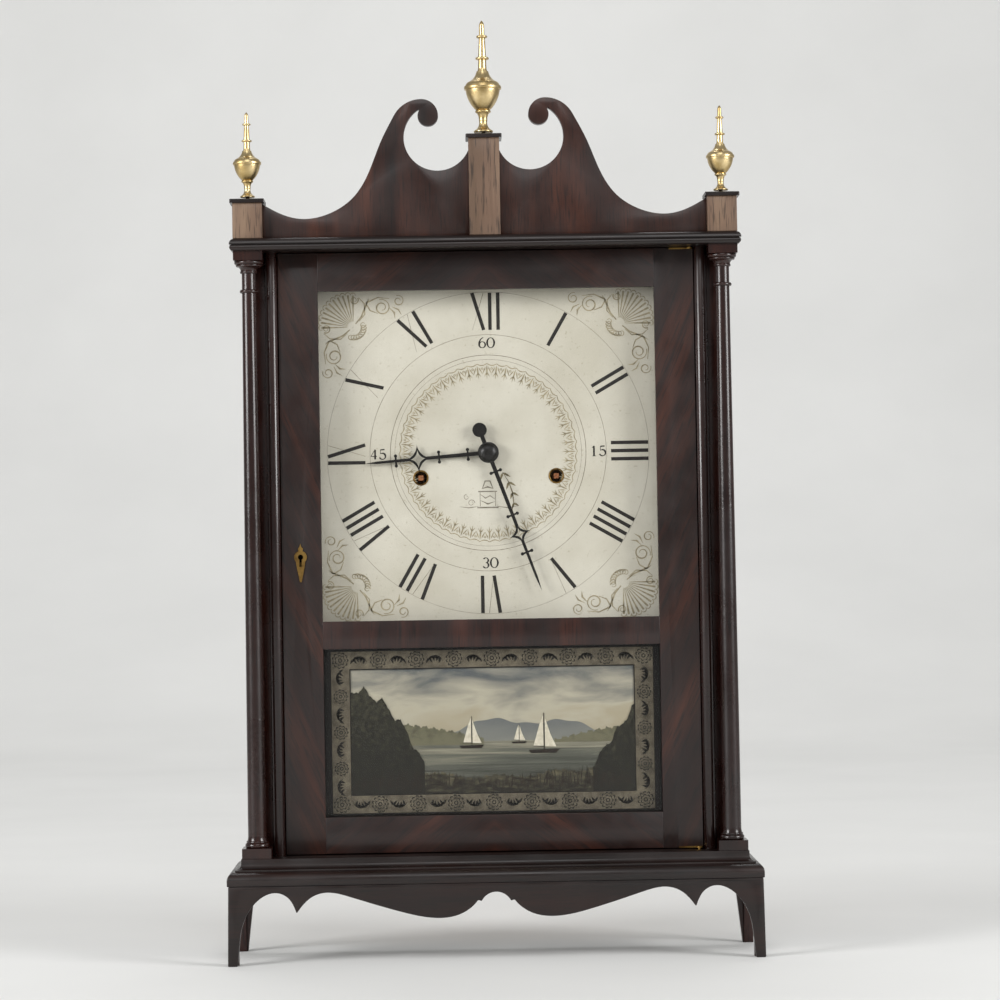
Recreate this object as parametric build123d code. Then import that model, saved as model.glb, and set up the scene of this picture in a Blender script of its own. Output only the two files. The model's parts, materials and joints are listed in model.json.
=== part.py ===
from build123d import *
import os
from math import asin, atan2, cos, degrees, hypot, pi, radians, sin, sqrt

# Pillar and scroll shelf clock, in millimetres.
# The origin is at the bottom centre, on the shelf. +Z is up and the front faces -Y.

# Base: skirt with French feet, nosing board and cove board
base_overhang = 26.0
skirt_height = 66.0
skirt_thickness = 8.0
skirt_inset = 1.0
foot_width = 8.1
side_foot_width = 4.5
rear_foot_width = 9.0
rear_bracket_thickness = 8.0
nosing_thickness = 11.6
nosing_round = 6.65
cove_thickness = 10.0
cove_fillet = 1.5
cove_depth = 4.85

# Case
front_stile_width = 21.2
side_thickness = 12.0
backboard_thickness = 8.0
front_setback = 38.0
bead_radius = 5.2
cornice_overhang = 16.8
cornice_thickness = 10.5
cornice_lower_round = 4.6
cornice_notch = 0.8

# Door: two stiles, three rails and two panes
door_width = 350.0
door_thickness = 16.0
door_side_gap = 0.8
door_bottom_gap = 1.0
door_top_gap = 0.7
door_stile_width = 33.25
top_rail_height = 32.3
middle_rail_height = 23.3
bottom_rail_height = 30.5
dial_opening_height = 278.0
tablet_opening_height = 141.0
glass_lip = 7.0
rebate_width = 4.0
glass_thickness = 2.2
glass_clearance = 0.5

# Door pivots, lock and escutcheon
pivot_inset = 3.0
pivot_stand = 1.5
pivot_pin_radius = 1.4
pivot_eye_radius = 2.8
pivot_plate_length = 20.0
pivot_plate_depth = 11.0
pivot_plate_thickness = 1.2
pivot_pin_depth = 5.0
running_clearance = 0.05
keyhole_inset = 15.5
keyhole_z = 338.0
keyhole_radius = 2.2
keyhole_slot_width = 2.0
keyhole_slot_length = 8.0
escutcheon_thickness = 0.8
escutcheon_ring_radius = 5.35
escutcheon_tail_length = 21.0
escutcheon_tip_height = 11.5
lock_width = 28.5
lock_height = 34.0
lock_thickness = 6.0
lock_wall = 1.0
bolt_length = 19.0
bolt_height = 8.0
bolt_throw = 5.0
bolt_clearance = 0.3

# Columns
column_outset = 1.6
column_block_width = 24.4
column_foot_block = 8.5
column_cap_block = 7.7
column_bottom_radius = 7.75
column_middle_radius = 7.0
column_neck_radius = 5.85
column_base_height = 11.0
torus_radius = 10.15
capital_height = 10.5
capital_radius = 12.0
neck_height = 15.0
astragal_radius = 7.75
astragal_height = 2.8

# Scroll pediment, plinths and finials
scroll_thickness = 8.0
scroll_opening_radius = 28.2
scroll_opening_x = 38.8
scroll_opening_drop = 18.1
scroll_head_radius = 8.6
scroll_tip_radius = 14.1
scroll_top_height = 115.6
scroll_crown_x = 51.9
scroll_shoulder_radius = 26.3
scroll_low_height = 16.4
scroll_end_drop = 0.5
side_plinth_width = 24.7
side_plinth_height = 29.7
centre_plinth_width = 25.9
centre_plinth_rise = 9.17
plinth_cap_thickness = 3.3
plinth_cap_overhang = 2.15
plinth_cap_round = 0.8
centre_finial_height = 94.4
side_finial_height = 71.8
stud_radius = 1.65
stud_gap = 2.2
stud_depth = 6.0

# Dial and hands
dial_side_lap = 8.25
dial_end_lap = 9.0
dial_thickness = 5.0
hand_space = 6.0
dial_centre_rise = 1.7
dial_rail_height = 10.0
dial_rail_thickness = 4.0
dial_rail_inset = 2.0
dial_centre_hole_radius = 4.9
winding_hole_radius = 5.5
winding_x = 57.5
winding_drop = 20.5
hour_hand_length = 105.2
minute_hand_length = 125.6
hour_hand_angle = 265.7
minute_hand_angle = 159.7
hour_hand_thickness = 1.0
minute_hand_thickness = 1.2
hand_separation = 1.9
hour_hand_stand = 2.6
hand_hub_radius = 7.0
hand_root_width = 3.6
hand_tip_width = 2.1
hand_line_width = 1.7
crossbar_length = 8.4
crossbar_width = 1.6
crossbar_ball_radius = 1.4
tail_length = 20.5
tail_ball_radius = 6.1
nut_radius = 8.9
nut_height = 4.3

# Movement plates
plate_setback = 10.0
plate_thickness = 4.5
plate_gap = 19.0
plate_back_gap = 3.0
plate_width = 180.0
plate_bottom_drop = 94.1
plate_height = 190.0
pillar_x = 80.0
pillar_edge_inset = 11.0
pillar_radius = 6.0
pillar_tenon_radius = 3.5
arbor_radius = 1.6
pivot_radius = 1.0
end_shake = 0.2
pivot_recess = 0.5

# Wheels: tooth counts and layers
tooth_addendum = 0.75
tooth_dedendum = 1.25
great_wheel_teeth = 66
centre_pinion_teeth = 8
centre_wheel_teeth = 56
escape_pinion_teeth = 7
strike_wheel_teeth = 60
strike_wheel_radius = 40.0
escape_distance = 47.0
pendulum_x = 24.0
wheel_thickness = 3.4
wheel_layer_gap = 2.1
pinion_overlap = 0.4
escape_wheel_teeth = 30
escape_wheel_radius = 20.0
escape_wheel_depth = 4.0
escape_wheel_thickness = 2.2
cannon_teeth = 10
motion_wheel_teeth = 30
motion_pinion_teeth = 8
hour_wheel_teeth = 32
motion_module = 0.9
motion_wheel_angle = 225.0
motion_stud_radius = 1.2
cannon_radius = 2.6
hour_pipe_radius = 3.9
motion_layer = 3.6
motion_gap = 0.8

# Winding drums, pulleys, cords and weights
winding_arbor_radius = 3.0
winding_square = 4.2
drum_radius = 12.5
drum_width = 8.4
drum_flange_radius = 15.5
drum_flange_thickness = 0.9
cord_plane_setback = 10.5
cord_radius = 1.0
cord_seat = 0.3
pulley_wall_gap = 48.0
pulley_drop = 2.0
pulley_groove_radius = 12.0
pulley_flange_radius = 13.2
pulley_width = 5.0
pulley_flange_thickness = 1.0
pulley_axle_radius = 1.2
axle_bearing = 4.0
pulley_slot_reach = 17.8
pulley_side_clearance = 1.3
cover_wall = 1.0
cover_clearance = 2.5
cover_height = 13.5
weight_radius = 15.5
weight_height = 160.0
weight_stand = 3.0
weight_ring_radius = 4.6
weight_wire_radius = 1.2

# Pendulum, verge, bell and hammer
pendulum_pivot_rise = 30.0
pendulum_rod_radius = 1.0
pendulum_length = 256.0
pendulum_setback = 3.5
bob_radius = 25.0
bob_thickness = 9.0
rating_nut_radius = 3.0
rating_nut_height = 3.5
suspension_gap = 0.4
suspension_block_width = 8.0
suspension_block_height = 10.0
verge_arbor_radius = 1.2
verge_clearance = 1.8
verge_band = 2.2
verge_reach = 52.0
crutch_length = 34.0
crutch_width = 3.0
crutch_thickness = 1.2
fork_pin_radius = 0.6
bell_x = -22.0
bell_top_gap = 11.8
bell_radius = 30.0
bell_depth = 16.0
bell_wall = 1.6
bell_stud_radius = 2.5
hammer_x = -62.0
hammer_drop = 62.0
hammer_arbor_radius = 1.2
hammer_wire_radius = 1.3
hammer_head_radius = 4.0
hammer_head_length = 9.0
hammer_gap = 1.8

# Levels and planes that follow from the sizes above
opening_half = door_width / 2 - door_stile_width
stile_inner_x = door_width / 2 + door_side_gap
case_width = 2 * (stile_inner_x + front_stile_width)
side_inner_x = case_width / 2 - side_thickness
base_width = case_width + 2 * base_overhang
cornice_width = case_width + 2 * cornice_overhang
column_x = case_width / 2 + column_outset
keyhole_x = keyhole_inset - door_width / 2
pulley_x = side_inner_x - pulley_wall_gap
dial_width = 2 * (opening_half + dial_side_lap)
dial_height = dial_opening_height + 2 * dial_end_lap
case_depth = door_thickness + hand_space + dial_thickness + plate_setback + 2 * plate_thickness
case_depth += plate_gap + plate_back_gap + backboard_thickness
base_depth = front_setback + case_depth
front_y = -base_depth / 2
back_y = base_depth / 2
nosing_z = skirt_height
cove_z = nosing_z + nosing_thickness
floor_z = cove_z + cove_thickness
scroll_head_height = scroll_top_height - scroll_tip_radius
scroll_opening_height = scroll_head_height - scroll_opening_drop
scroll_opening_reach = scroll_opening_x - centre_plinth_width / 2
scroll_opening_end = scroll_opening_height - sqrt(scroll_opening_radius ** 2 - scroll_opening_reach ** 2)
centre_plinth_height = scroll_opening_end + centre_plinth_rise
door_bottom = floor_z + door_bottom_gap
tablet_z = door_bottom + bottom_rail_height
tablet_top = tablet_z + tablet_opening_height
dial_opening_z = tablet_top + middle_rail_height
dial_opening_top = dial_opening_z + dial_opening_height
dial_centre_z = (dial_opening_z + dial_opening_top) / 2 + dial_centre_rise
door_top = dial_opening_top + top_rail_height
ceiling_z = door_top + door_top_gap
roof_z = ceiling_z + cornice_thickness
door_front = front_y + front_setback
door_back = door_front + door_thickness
glass_y = door_front + glass_lip
backboard_y = back_y - backboard_thickness
cornice_front = front_y + (base_width - cornice_width) / 2
column_y = door_front - column_block_width / 2
dial_y = door_back + hand_space
dial_back = dial_y + dial_thickness
front_plate_y = dial_back + plate_setback
front_plate_back = front_plate_y + plate_thickness
back_plate_y = front_plate_back + plate_gap
back_plate_back = back_plate_y + plate_thickness
plate_z = dial_centre_z - plate_bottom_drop
winding_z = dial_centre_z - winding_drop
escape_z = dial_centre_z + sqrt(escape_distance ** 2 - pendulum_x ** 2)
pendulum_z = escape_z + pendulum_pivot_rise
pendulum_y = front_plate_y - pendulum_setback
great_wheel_y = front_plate_back + 1.5
cord_plane_y = front_plate_back + cord_plane_setback
drum_y = cord_plane_y - drum_width / 2
centre_wheel_y = great_wheel_y + wheel_thickness + wheel_layer_gap
escape_wheel_y = centre_wheel_y + wheel_thickness + 2.8
motion_rear_y = front_plate_y - 1.0
motion_rear_front = motion_rear_y - motion_layer
hour_wheel_y = motion_rear_front - motion_gap
hour_wheel_front = hour_wheel_y - motion_layer + 0.4
hour_hand_y = dial_y - hour_hand_stand
hour_hand_front = hour_hand_y - hour_hand_thickness
minute_hand_y = hour_hand_front - hand_separation
minute_hand_front = minute_hand_y - minute_hand_thickness
pulley_z = roof_z - pulley_drop
cord_drum_radius = drum_radius + cord_radius + cord_seat
cord_pulley_radius = pulley_groove_radius + cord_radius + cord_seat
weight_x = pulley_x + cord_pulley_radius
weight_z = floor_z + weight_stand
weight_top = weight_z + weight_height
weight_ring_top = weight_top + 2 * (weight_ring_radius + weight_wire_radius) - weight_wire_radius
bell_z = ceiling_z - bell_top_gap - bell_radius
hammer_z = bell_z - hammer_drop
motion_distance = motion_module * (cannon_teeth + motion_wheel_teeth) / 2
motion_x = motion_distance * cos(radians(motion_wheel_angle))
motion_z = dial_centre_z + motion_distance * sin(radians(motion_wheel_angle))

os.makedirs("parts", exist_ok=True)


def save(name, *solids):
    """Write one sub-part, made of one or more separate solids."""
    export_step(Compound(children=list(solids)), f"parts/{name}.step")


def block(x_low, x_high, y_low, y_high, z_low, z_high):
    """A box between its lowest and highest corners."""
    box = Box(x_high - x_low, y_high - y_low, z_high - z_low)
    return Pos((x_low + x_high) / 2, (y_low + y_high) / 2, (z_low + z_high) / 2) * box


def front_cut(outline, y_front, y_back):
    """Saw an outline, drawn as seen from the front, out of a board."""
    face_plane = Plane((0, y_back, 0), x_dir=(1, 0, 0), z_dir=(0, -1, 0))
    return extrude(face_plane * outline, amount=y_back - y_front)


def side_cut(outline, x_low, x_high):
    """Saw an outline, drawn on Y and Z, out of a board that stands across X."""
    face_plane = Plane((x_low, 0, 0), x_dir=(0, 1, 0), z_dir=(1, 0, 0))
    return extrude(face_plane * outline, amount=x_high - x_low)


def rod(x, z, radius, y_front, y_back):
    """A round bar that runs from front to back."""
    return front_cut(Pos(x, z) * Circle(radius), y_front, y_back)


def upright(x, y, radius, z_low, z_high):
    """A round bar that stands up."""
    return Pos(x, y, (z_low + z_high) / 2) * Cylinder(radius, z_high - z_low)


def joined_edges(steps, place):
    """Join straight steps, (a, b), and round steps, ((a, b) on the way, (a, b) at the end)."""
    edges = []
    here = steps[0]
    for step in steps[1:]:
        if isinstance(step[0], tuple):
            through, there = step
            edges.append(ThreePointArc(place(here), place(through), place(there)))
        else:
            there = step
            edges.append(Line(place(here), place(there)))
        here = there
    return edges


def turned(steps):
    """Turn a profile of radius and height about the vertical axis."""
    edges = joined_edges(steps, lambda point: point)
    edges.append(Line(steps_end(steps), (0, steps_end(steps)[1])))
    edges.append(Line((0, steps_end(steps)[1]), (0, steps[0][1])))
    edges.append(Line((0, steps[0][1]), steps[0]))
    return revolve(Plane.XZ * make_face(edges), Axis.Z)


def steps_end(steps):
    """The last point of a list of steps."""
    last = steps[-1]
    return last[1] if isinstance(last[0], tuple) else last


def moulded_board(half_width, y_front, steps):
    """A board with a moulding, (inset, height), mitred round its front and both ends."""
    low = steps[0]
    high = steps_end(steps)
    right = joined_edges(steps, lambda point: (half_width - point[0], point[1]))
    left = joined_edges(steps, lambda point: (point[0] - half_width, point[1]))
    ends = [Line((half_width - inset, z), (inset - half_width, z)) for inset, z in (low, high)]
    across = front_cut(make_face(right + left + ends), y_front, back_y)
    nose = joined_edges(steps, lambda point: (y_front + point[0], point[1]))
    rest = [Line((y_front + inset, z), (back_y, z)) for inset, z in (low, high)]
    rear = [Line((back_y, low[1]), (back_y, high[1]))]
    along = side_cut(make_face(nose + rest + rear), -half_width, half_width)
    return across & along


def toothed(x, z, teeth, module, aim):
    """Outline of a wheel or pinion with one tooth pointing along the angle aim."""
    root = module * (teeth / 2 - tooth_dedendum)
    tip = module * (teeth / 2 + tooth_addendum)
    corners = ((root, -0.26), (tip, -0.09), (tip, 0.09), (root, 0.26))
    points = []
    for tooth in range(teeth):
        for radius, share in corners:
            angle = radians(aim) + (tooth + share) * 2 * pi / teeth
            points.append((x + radius * cos(angle), z + radius * sin(angle)))
    return make_face(Polyline(*points, close=True))


def arbor(x, z, front_end=None):
    """An arbor between the plates, with a pivot in each plate or a longer front end."""
    start = front_plate_back + end_shake if front_end is None else front_end
    bar = rod(x, z, arbor_radius, start, back_plate_y - end_shake)
    bar += rod(x, z, pivot_radius, back_plate_y - end_shake, back_plate_back - pivot_recess)
    if front_end is None:
        bar += rod(x, z, pivot_radius, front_plate_y + pivot_recess, start)
    return bar


# Base

def skirt_half(side):
    """Lower edge of the front skirt, from the foot to the middle, on one side."""
    half = base_width / 2
    inner = half - foot_width
    drop = skirt_height
    foot_curve = Spline(
        (side * inner, 0), (side * (inner - 1.6), drop - 49.4), (side * (inner - 4.5), drop - 32),
        (side * (half - 21), drop - 16.4), (side * (half - 31), drop - 8), (side * (half - 40.5), drop - 5.7),
        (side * (half - 50.5), drop - 10), (side * (half - 55.6), drop - 18),
        (side * (half - 57.4), drop - 22.9))
    ogee = Spline(
        (side * (half - 57.4), drop - 22.9), (side * (half - 61.7), drop - 17.2),
        (side * (half - 69.5), drop - 10), (side * (half - 79.8), drop - 6.3),
        (side * (half - 102.7), drop - 10.3), (side * 79.1, drop - 23), (side * 50.2, drop - 28.6),
        (side * 33.6, drop - 27), (side * 17.8, drop - 17.7), (side * 15, drop - 14.3))
    notch = Line((side * 15, drop - 14.3), (side * 12.2, drop - 15.4))
    return [foot_curve, ogee, notch]


def make_skirt_front():
    half = base_width / 2
    top = half - skirt_inset
    arch = ThreePointArc((-12.2, skirt_height - 15.4), (0, skirt_height - 7.8), (12.2, skirt_height - 15.4))
    edges = skirt_half(-1) + skirt_half(1) + [arch]
    for side in (-1, 1):
        edges.append(Line((side * (half - foot_width), 0), (side * half, 0)))
        edges.append(Line((side * half, 0), (side * top, skirt_height)))
    edges.append(Line((-top, skirt_height), (top, skirt_height)))
    y_front = front_y + skirt_inset
    save("skirt_front", front_cut(make_face(edges), y_front, y_front + skirt_thickness))


def make_side_skirts():
    y_front = front_y + skirt_inset + skirt_thickness
    outer = base_width / 2 - skirt_inset
    inner = outer - skirt_thickness
    front_foot = y_front + side_foot_width
    rear_foot = back_y - rear_foot_width
    arch = Spline(
        (front_foot, 0), (front_foot + 1.2, 17), (front_foot + 4.5, 34), (front_foot + 13, 49),
        (front_foot + 25, 57), ((front_foot + rear_foot) / 2, skirt_height - 6.5), (rear_foot - 25, 57),
        (rear_foot - 13, 49), (rear_foot - 4.5, 34), (rear_foot - 1.2, 17), (rear_foot, 0))
    rim = Polyline(
        (rear_foot, 0), (back_y, 0), (back_y, skirt_height),
        (y_front, skirt_height), (y_front, 0), (front_foot, 0))
    bracket = make_face(Polyline(
        (inner, 0), (inner, skirt_height), (inner - 13, skirt_height), (inner - 7, skirt_height - 14),
        (inner - 1, 0), close=True))
    board = side_cut(make_face([arch, rim]), inner, outer)
    brace = front_cut(bracket, back_y - rear_bracket_thickness, back_y)
    save("side_skirts", board, brace, mirror(board, Plane.YZ), mirror(brace, Plane.YZ))


def pivot_pin_hole(z_low, z_high):
    x = door_width / 2 - pivot_inset
    return upright(x, door_front - pivot_stand, pivot_pin_radius + running_clearance, z_low, z_high)


def make_base_boards():
    corner = nosing_round * (1 - 1 / sqrt(2))
    nosing = moulded_board(base_width / 2, front_y, [
        (0, nosing_z), (0, cove_z - nosing_round),
        ((corner, cove_z - corner), (nosing_round, cove_z))])
    save("base_nosing", nosing)
    bow = cove_depth * (1 - 1 / sqrt(2))
    inset = nosing_round
    cove = moulded_board(base_width / 2, front_y, [
        (inset, cove_z), (inset, cove_z + cove_fillet),
        ((inset + cove_depth - bow, cove_z + cove_fillet + bow),
         (inset + cove_depth, cove_z + cove_fillet + cove_depth)),
        (inset + cove_depth, floor_z)])
    save("base_cove", cove - pivot_pin_hole(floor_z - pivot_pin_depth - 1, floor_z))


# Case

def make_case_boards():
    outer = case_width / 2
    save("case_side_left", block(-outer, -side_inner_x, door_back, back_y, floor_z, ceiling_z))
    save("case_side_right", block(side_inner_x, outer, door_back, back_y, floor_z, ceiling_z))
    save("backboard", block(-side_inner_x, side_inner_x, backboard_y, back_y, floor_z, ceiling_z))


def make_front_stiles():
    bead_x = stile_inner_x + bead_radius
    stile = block(stile_inner_x, stile_inner_x + front_stile_width, door_front, door_back, floor_z, ceiling_z)
    bead = upright(bead_x, door_front, bead_radius, floor_z, ceiling_z)
    bead &= block(
        stile_inner_x, bead_x + bead_radius, door_front - bead_radius, door_front, floor_z, ceiling_z)
    stile += bead
    save("front_stile_right", stile)
    depth = bolt_throw + 1.5
    mortise = block(
        -stile_inner_x - depth, -stile_inner_x, lock_slot_y() - bolt_clearance,
        lock_slot_y() + bolt_thickness() + bolt_clearance,
        keyhole_z - bolt_height / 2 - bolt_clearance, keyhole_z + bolt_height / 2 + bolt_clearance)
    save("front_stile_left", mirror(stile, Plane.YZ) - mortise)


def make_cornice():
    half = cornice_width / 2
    upper = cornice_thickness - cornice_lower_round - cornice_notch
    bow = upper * (1 - 1 / sqrt(2))
    step_z = ceiling_z + cornice_lower_round
    board = moulded_board(half, cornice_front, [
        (2.4, ceiling_z), ((0.4, ceiling_z + 1.9), (1.0, step_z)),
        (1.8, step_z), (1.8, step_z + cornice_notch), (0, step_z + cornice_notch),
        ((bow, roof_z - bow), (upper, roof_z))])
    slot_half = pulley_width / 2 + pulley_side_clearance
    axle_half = slot_half + axle_bearing
    for side in (-1, 1):
        x = side * pulley_x
        board -= block(
            x - pulley_slot_reach, x + pulley_slot_reach, cord_plane_y - slot_half, cord_plane_y + slot_half,
            ceiling_z, roof_z)
        board -= block(
            x - pulley_axle_radius, x + pulley_axle_radius,
            cord_plane_y - axle_half, cord_plane_y + axle_half, pulley_z - pulley_axle_radius, roof_z)
    save("cornice", board - pivot_pin_hole(ceiling_z, ceiling_z + pivot_pin_depth + 1))


# Columns

def make_columns():
    low = floor_z + column_foot_block
    high = ceiling_z - column_cap_block
    capital_z = high - capital_height
    neck_z = capital_z - neck_height
    shaft_z = low + column_base_height
    shaft = turned([
        (torus_radius - 1.4, low), (torus_radius - 0.5, low + 0.4),
        ((torus_radius, low + 2.1), (torus_radius - 0.9, low + 4.0)),
        (torus_radius - 1.3, low + 4.2), ((torus_radius - 1.0, low + 5.0), (torus_radius - 1.4, low + 5.8)),
        (column_bottom_radius + 0.5, low + 6.0),
        ((column_bottom_radius + 0.1, low + 8.0), (column_bottom_radius, shaft_z)),
        ((column_middle_radius, (shaft_z + neck_z) / 2), (column_neck_radius, neck_z - astragal_height / 2)),
        (astragal_radius - 0.7, neck_z - astragal_height / 2),
        ((astragal_radius, neck_z), (astragal_radius - 0.7, neck_z + astragal_height / 2)),
        (column_neck_radius, neck_z + astragal_height / 2), (column_neck_radius, capital_z),
        (column_neck_radius + 0.9, capital_z),
        ((column_neck_radius + 1.4, capital_z + 1.1), (column_neck_radius + 0.9, capital_z + 2.2)),
        ((column_neck_radius + 1.7, capital_z + 4.4), (capital_radius - 2.6, capital_z + 5.6)),
        (capital_radius - 1.9, capital_z + 5.6),
        ((capital_radius - 1.3, capital_z + 6.6), (capital_radius - 1.9, capital_z + 7.5)),
        (capital_radius - 0.8, capital_z + 7.5),
        ((capital_radius, capital_z + 9.0), (capital_radius - 0.5, high))])
    half = column_block_width / 2
    for name, x in (("column_left", -column_x), ("column_right", column_x)):
        foot = block(x - half, x + half, column_y - half, column_y + half, floor_z, low)
        cap = block(x - half, x + half, column_y - half, column_y + half, high, ceiling_z)
        save(name, foot, Pos(x, column_y, 0) * shaft, cap)


# Scroll pediment, plinths and finials

def scroll_outline():
    """One half of the scroll board, on the +X side."""
    base = roof_z
    plinth_side = column_x - side_plinth_width / 2
    middle = centre_plinth_width / 2
    opening_z = base + scroll_opening_height
    opening_end = base + scroll_opening_end
    tongue = radians(57)
    tongue_x = scroll_opening_x + scroll_opening_radius * cos(tongue)
    tongue_z = opening_z + scroll_opening_radius * sin(tongue)
    head_z = base + scroll_head_height
    top_z = base + scroll_top_height
    tip_x = scroll_crown_x - scroll_tip_radius
    head_x = tip_x + scroll_head_radius
    shoulder = radians(28)
    shoulder_x = scroll_crown_x + scroll_shoulder_radius * cos(shoulder)
    shoulder_z = top_z - scroll_shoulder_radius + scroll_shoulder_radius * sin(shoulder)
    nib = radians(148)
    nib_x = head_x - scroll_head_radius * cos(nib)
    nib_z = head_z + scroll_head_radius * sin(nib)
    reach = plinth_side - shoulder_x
    low_z = base + scroll_low_height
    fall = shoulder_z - low_z
    end_z = base + side_plinth_height - scroll_end_drop
    outer = Spline(
        (shoulder_x, shoulder_z), (shoulder_x + 0.0925 * reach, low_z + 0.7719 * fall),
        (shoulder_x + 0.1906 * reach, low_z + 0.4587 * fall),
        (shoulder_x + 0.3085 * reach, low_z + 0.2111 * fall),
        (shoulder_x + 0.4893 * reach, low_z + 0.0516 * fall), (shoulder_x + 0.7071 * reach, low_z),
        (shoulder_x + 0.8745 * reach, low_z + 0.4 * (end_z - low_z)), (plinth_side, end_z),
        tangents=[(sin(shoulder), -cos(shoulder)), (0.85, 0.5)])
    return make_face([
        Line((middle, base), (middle, opening_end)),
        ThreePointArc(
            (middle, opening_end),
            (scroll_opening_x - scroll_opening_radius * cos(radians(125)),
             opening_z - scroll_opening_radius * sin(radians(125))),
            (tongue_x, tongue_z)),
        Line((tongue_x, tongue_z), (nib_x, nib_z)),
        ThreePointArc(
            (nib_x, nib_z), (head_x, head_z - scroll_head_radius), (tip_x, head_z)),
        ThreePointArc(
            (tip_x, head_z),
            (scroll_crown_x - scroll_tip_radius / sqrt(2), head_z + scroll_tip_radius / sqrt(2)),
            (scroll_crown_x, top_z)),
        ThreePointArc(
            (scroll_crown_x, top_z),
            (scroll_crown_x + scroll_shoulder_radius * cos(radians(59)),
             top_z - scroll_shoulder_radius + scroll_shoulder_radius * sin(radians(59))),
            (shoulder_x, shoulder_z)),
        outer,
        Line((plinth_side, end_z), (plinth_side, base)),
        Line((plinth_side, base), (middle, base))])


def make_scroll_pediment():
    half = front_cut(scroll_outline(), column_y - scroll_thickness / 2, column_y + scroll_thickness / 2)
    save("scroll_pediment", half, mirror(half, Plane.YZ))


def plinth(x, width, height):
    half = width / 2
    body = block(x - half, x + half, column_y - half, column_y + half, roof_z, roof_z + height)
    return body - upright(x, column_y, stud_radius, roof_z + height - stud_depth, roof_z + height)


def plinth_cap(x, width, height):
    half = width / 2 + plinth_cap_overhang
    low = roof_z + height
    cap = block(x - half, x + half, column_y - half, column_y + half, low, low + plinth_cap_thickness)
    cap = fillet(cap.edges().filter_by(Axis.Z) + cap.edges().group_by(Axis.Z)[-1], plinth_cap_round)
    return cap - upright(x, column_y, stud_radius, low, low + plinth_cap_thickness)


def stud(x, height):
    low = roof_z + height - stud_depth
    high = roof_z + height + plinth_cap_thickness + stud_gap + stud_depth
    return upright(x, column_y, stud_radius, low, high)


def make_plinths():
    save("plinth_centre", plinth(0, centre_plinth_width, centre_plinth_height))
    places = [
        (-column_x, side_plinth_width, side_plinth_height),
        (0, centre_plinth_width, centre_plinth_height),
        (column_x, side_plinth_width, side_plinth_height)]
    save("side_plinths", plinth(*places[0]), plinth(*places[2]))
    save("plinth_caps", *[plinth_cap(*place) for place in places])
    save("finial_studs", *[stud(x, height) for x, width, height in places])


def finial(x, plinth_height, height):
    """A turned brass urn: foot, stem, bowl, lip, lid and ringed spire."""
    drawn_height = 94.4
    k = height / drawn_height
    urn = turned([
        (7.4 * k, 0), ((8.15 * k, 0.9 * k), (7.5 * k, 1.9 * k)), ((4.3 * k, 5.0 * k), (3.6 * k, 10.6 * k)),
        ((4.1 * k, 14.4 * k), (5.3 * k, 16.6 * k)), ((6.55 * k, 17.7 * k), (5.7 * k, 18.9 * k)),
        ((11.6 * k, 26.6 * k), (14.35 * k, 36.0 * k)),
        (15.3 * k, 36.2 * k), ((15.65 * k, 37.6 * k), (15.3 * k, 39.2 * k)), (14.6 * k, 39.3 * k),
        ((13.4 * k, 41.7 * k), (11.0 * k, 43.2 * k)), ((7.0 * k, 46.9 * k), (5.0 * k, 51.6 * k)),
        (4.1 * k, 51.9 * k), (3.6 * k, 54.0 * k), (3.25 * k, 61.3 * k),
        (4.9 * k, 61.5 * k), ((5.7 * k, 62.5 * k), (4.9 * k, 63.5 * k)), (3.35 * k, 63.7 * k),
        (2.5 * k, 79.6 * k), (3.9 * k, 79.8 * k), ((4.6 * k, 80.8 * k), (3.9 * k, 81.8 * k)),
        (2.3 * k, 82.0 * k), (2.1 * k, 90.8 * k), ((1.5 * k, 92.6 * k), (0.2 * k, drawn_height * k))])
    urn -= upright(0, 0, stud_radius + running_clearance, 0, stud_depth + running_clearance)
    foot_z = roof_z + plinth_height + plinth_cap_thickness + stud_gap
    return Pos(x, column_y, foot_z) * urn


def make_finials():
    save("finial_left", finial(-column_x, side_plinth_height, side_finial_height))
    save("finial_centre", finial(0, centre_plinth_height, centre_finial_height))
    save("finial_right", finial(column_x, side_plinth_height, side_finial_height))


# Door

def bolt_thickness():
    return lock_thickness - 2 * lock_wall - 2 * bolt_clearance


def lock_slot_y():
    """Front face of the lock bolt."""
    return door_back - lock_thickness + lock_wall + bolt_clearance


def glass_pocket(z_low, z_high):
    half = opening_half + rebate_width
    return block(-half, half, glass_y, door_back, z_low - rebate_width, z_high + rebate_width)


def lock_recess():
    x = -door_width / 2
    half = lock_height / 2
    return block(x, x + lock_width, door_back - lock_thickness, door_back, keyhole_z - half, keyhole_z + half)


def keyhole(y_front, y_back):
    slot = Rectangle(keyhole_slot_width, keyhole_slot_length)
    slot = Pos(keyhole_x, keyhole_z - keyhole_slot_length / 2) * slot
    return front_cut(Pos(keyhole_x, keyhole_z) * Circle(keyhole_radius) + slot, y_front, y_back)


def pivot_plate(z_low):
    """Plate let into the door's edge, with its eye just in front of the door."""
    x = door_width / 2 - pivot_inset
    y = door_front - pivot_stand
    eye = upright(x, y, pivot_eye_radius, z_low, z_low + pivot_plate_thickness)
    tongue = block(
        x + pivot_eye_radius - pivot_plate_length, x + pivot_eye_radius, y, door_front + pivot_plate_depth,
        z_low, z_low + pivot_plate_thickness)
    return eye + tongue


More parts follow.
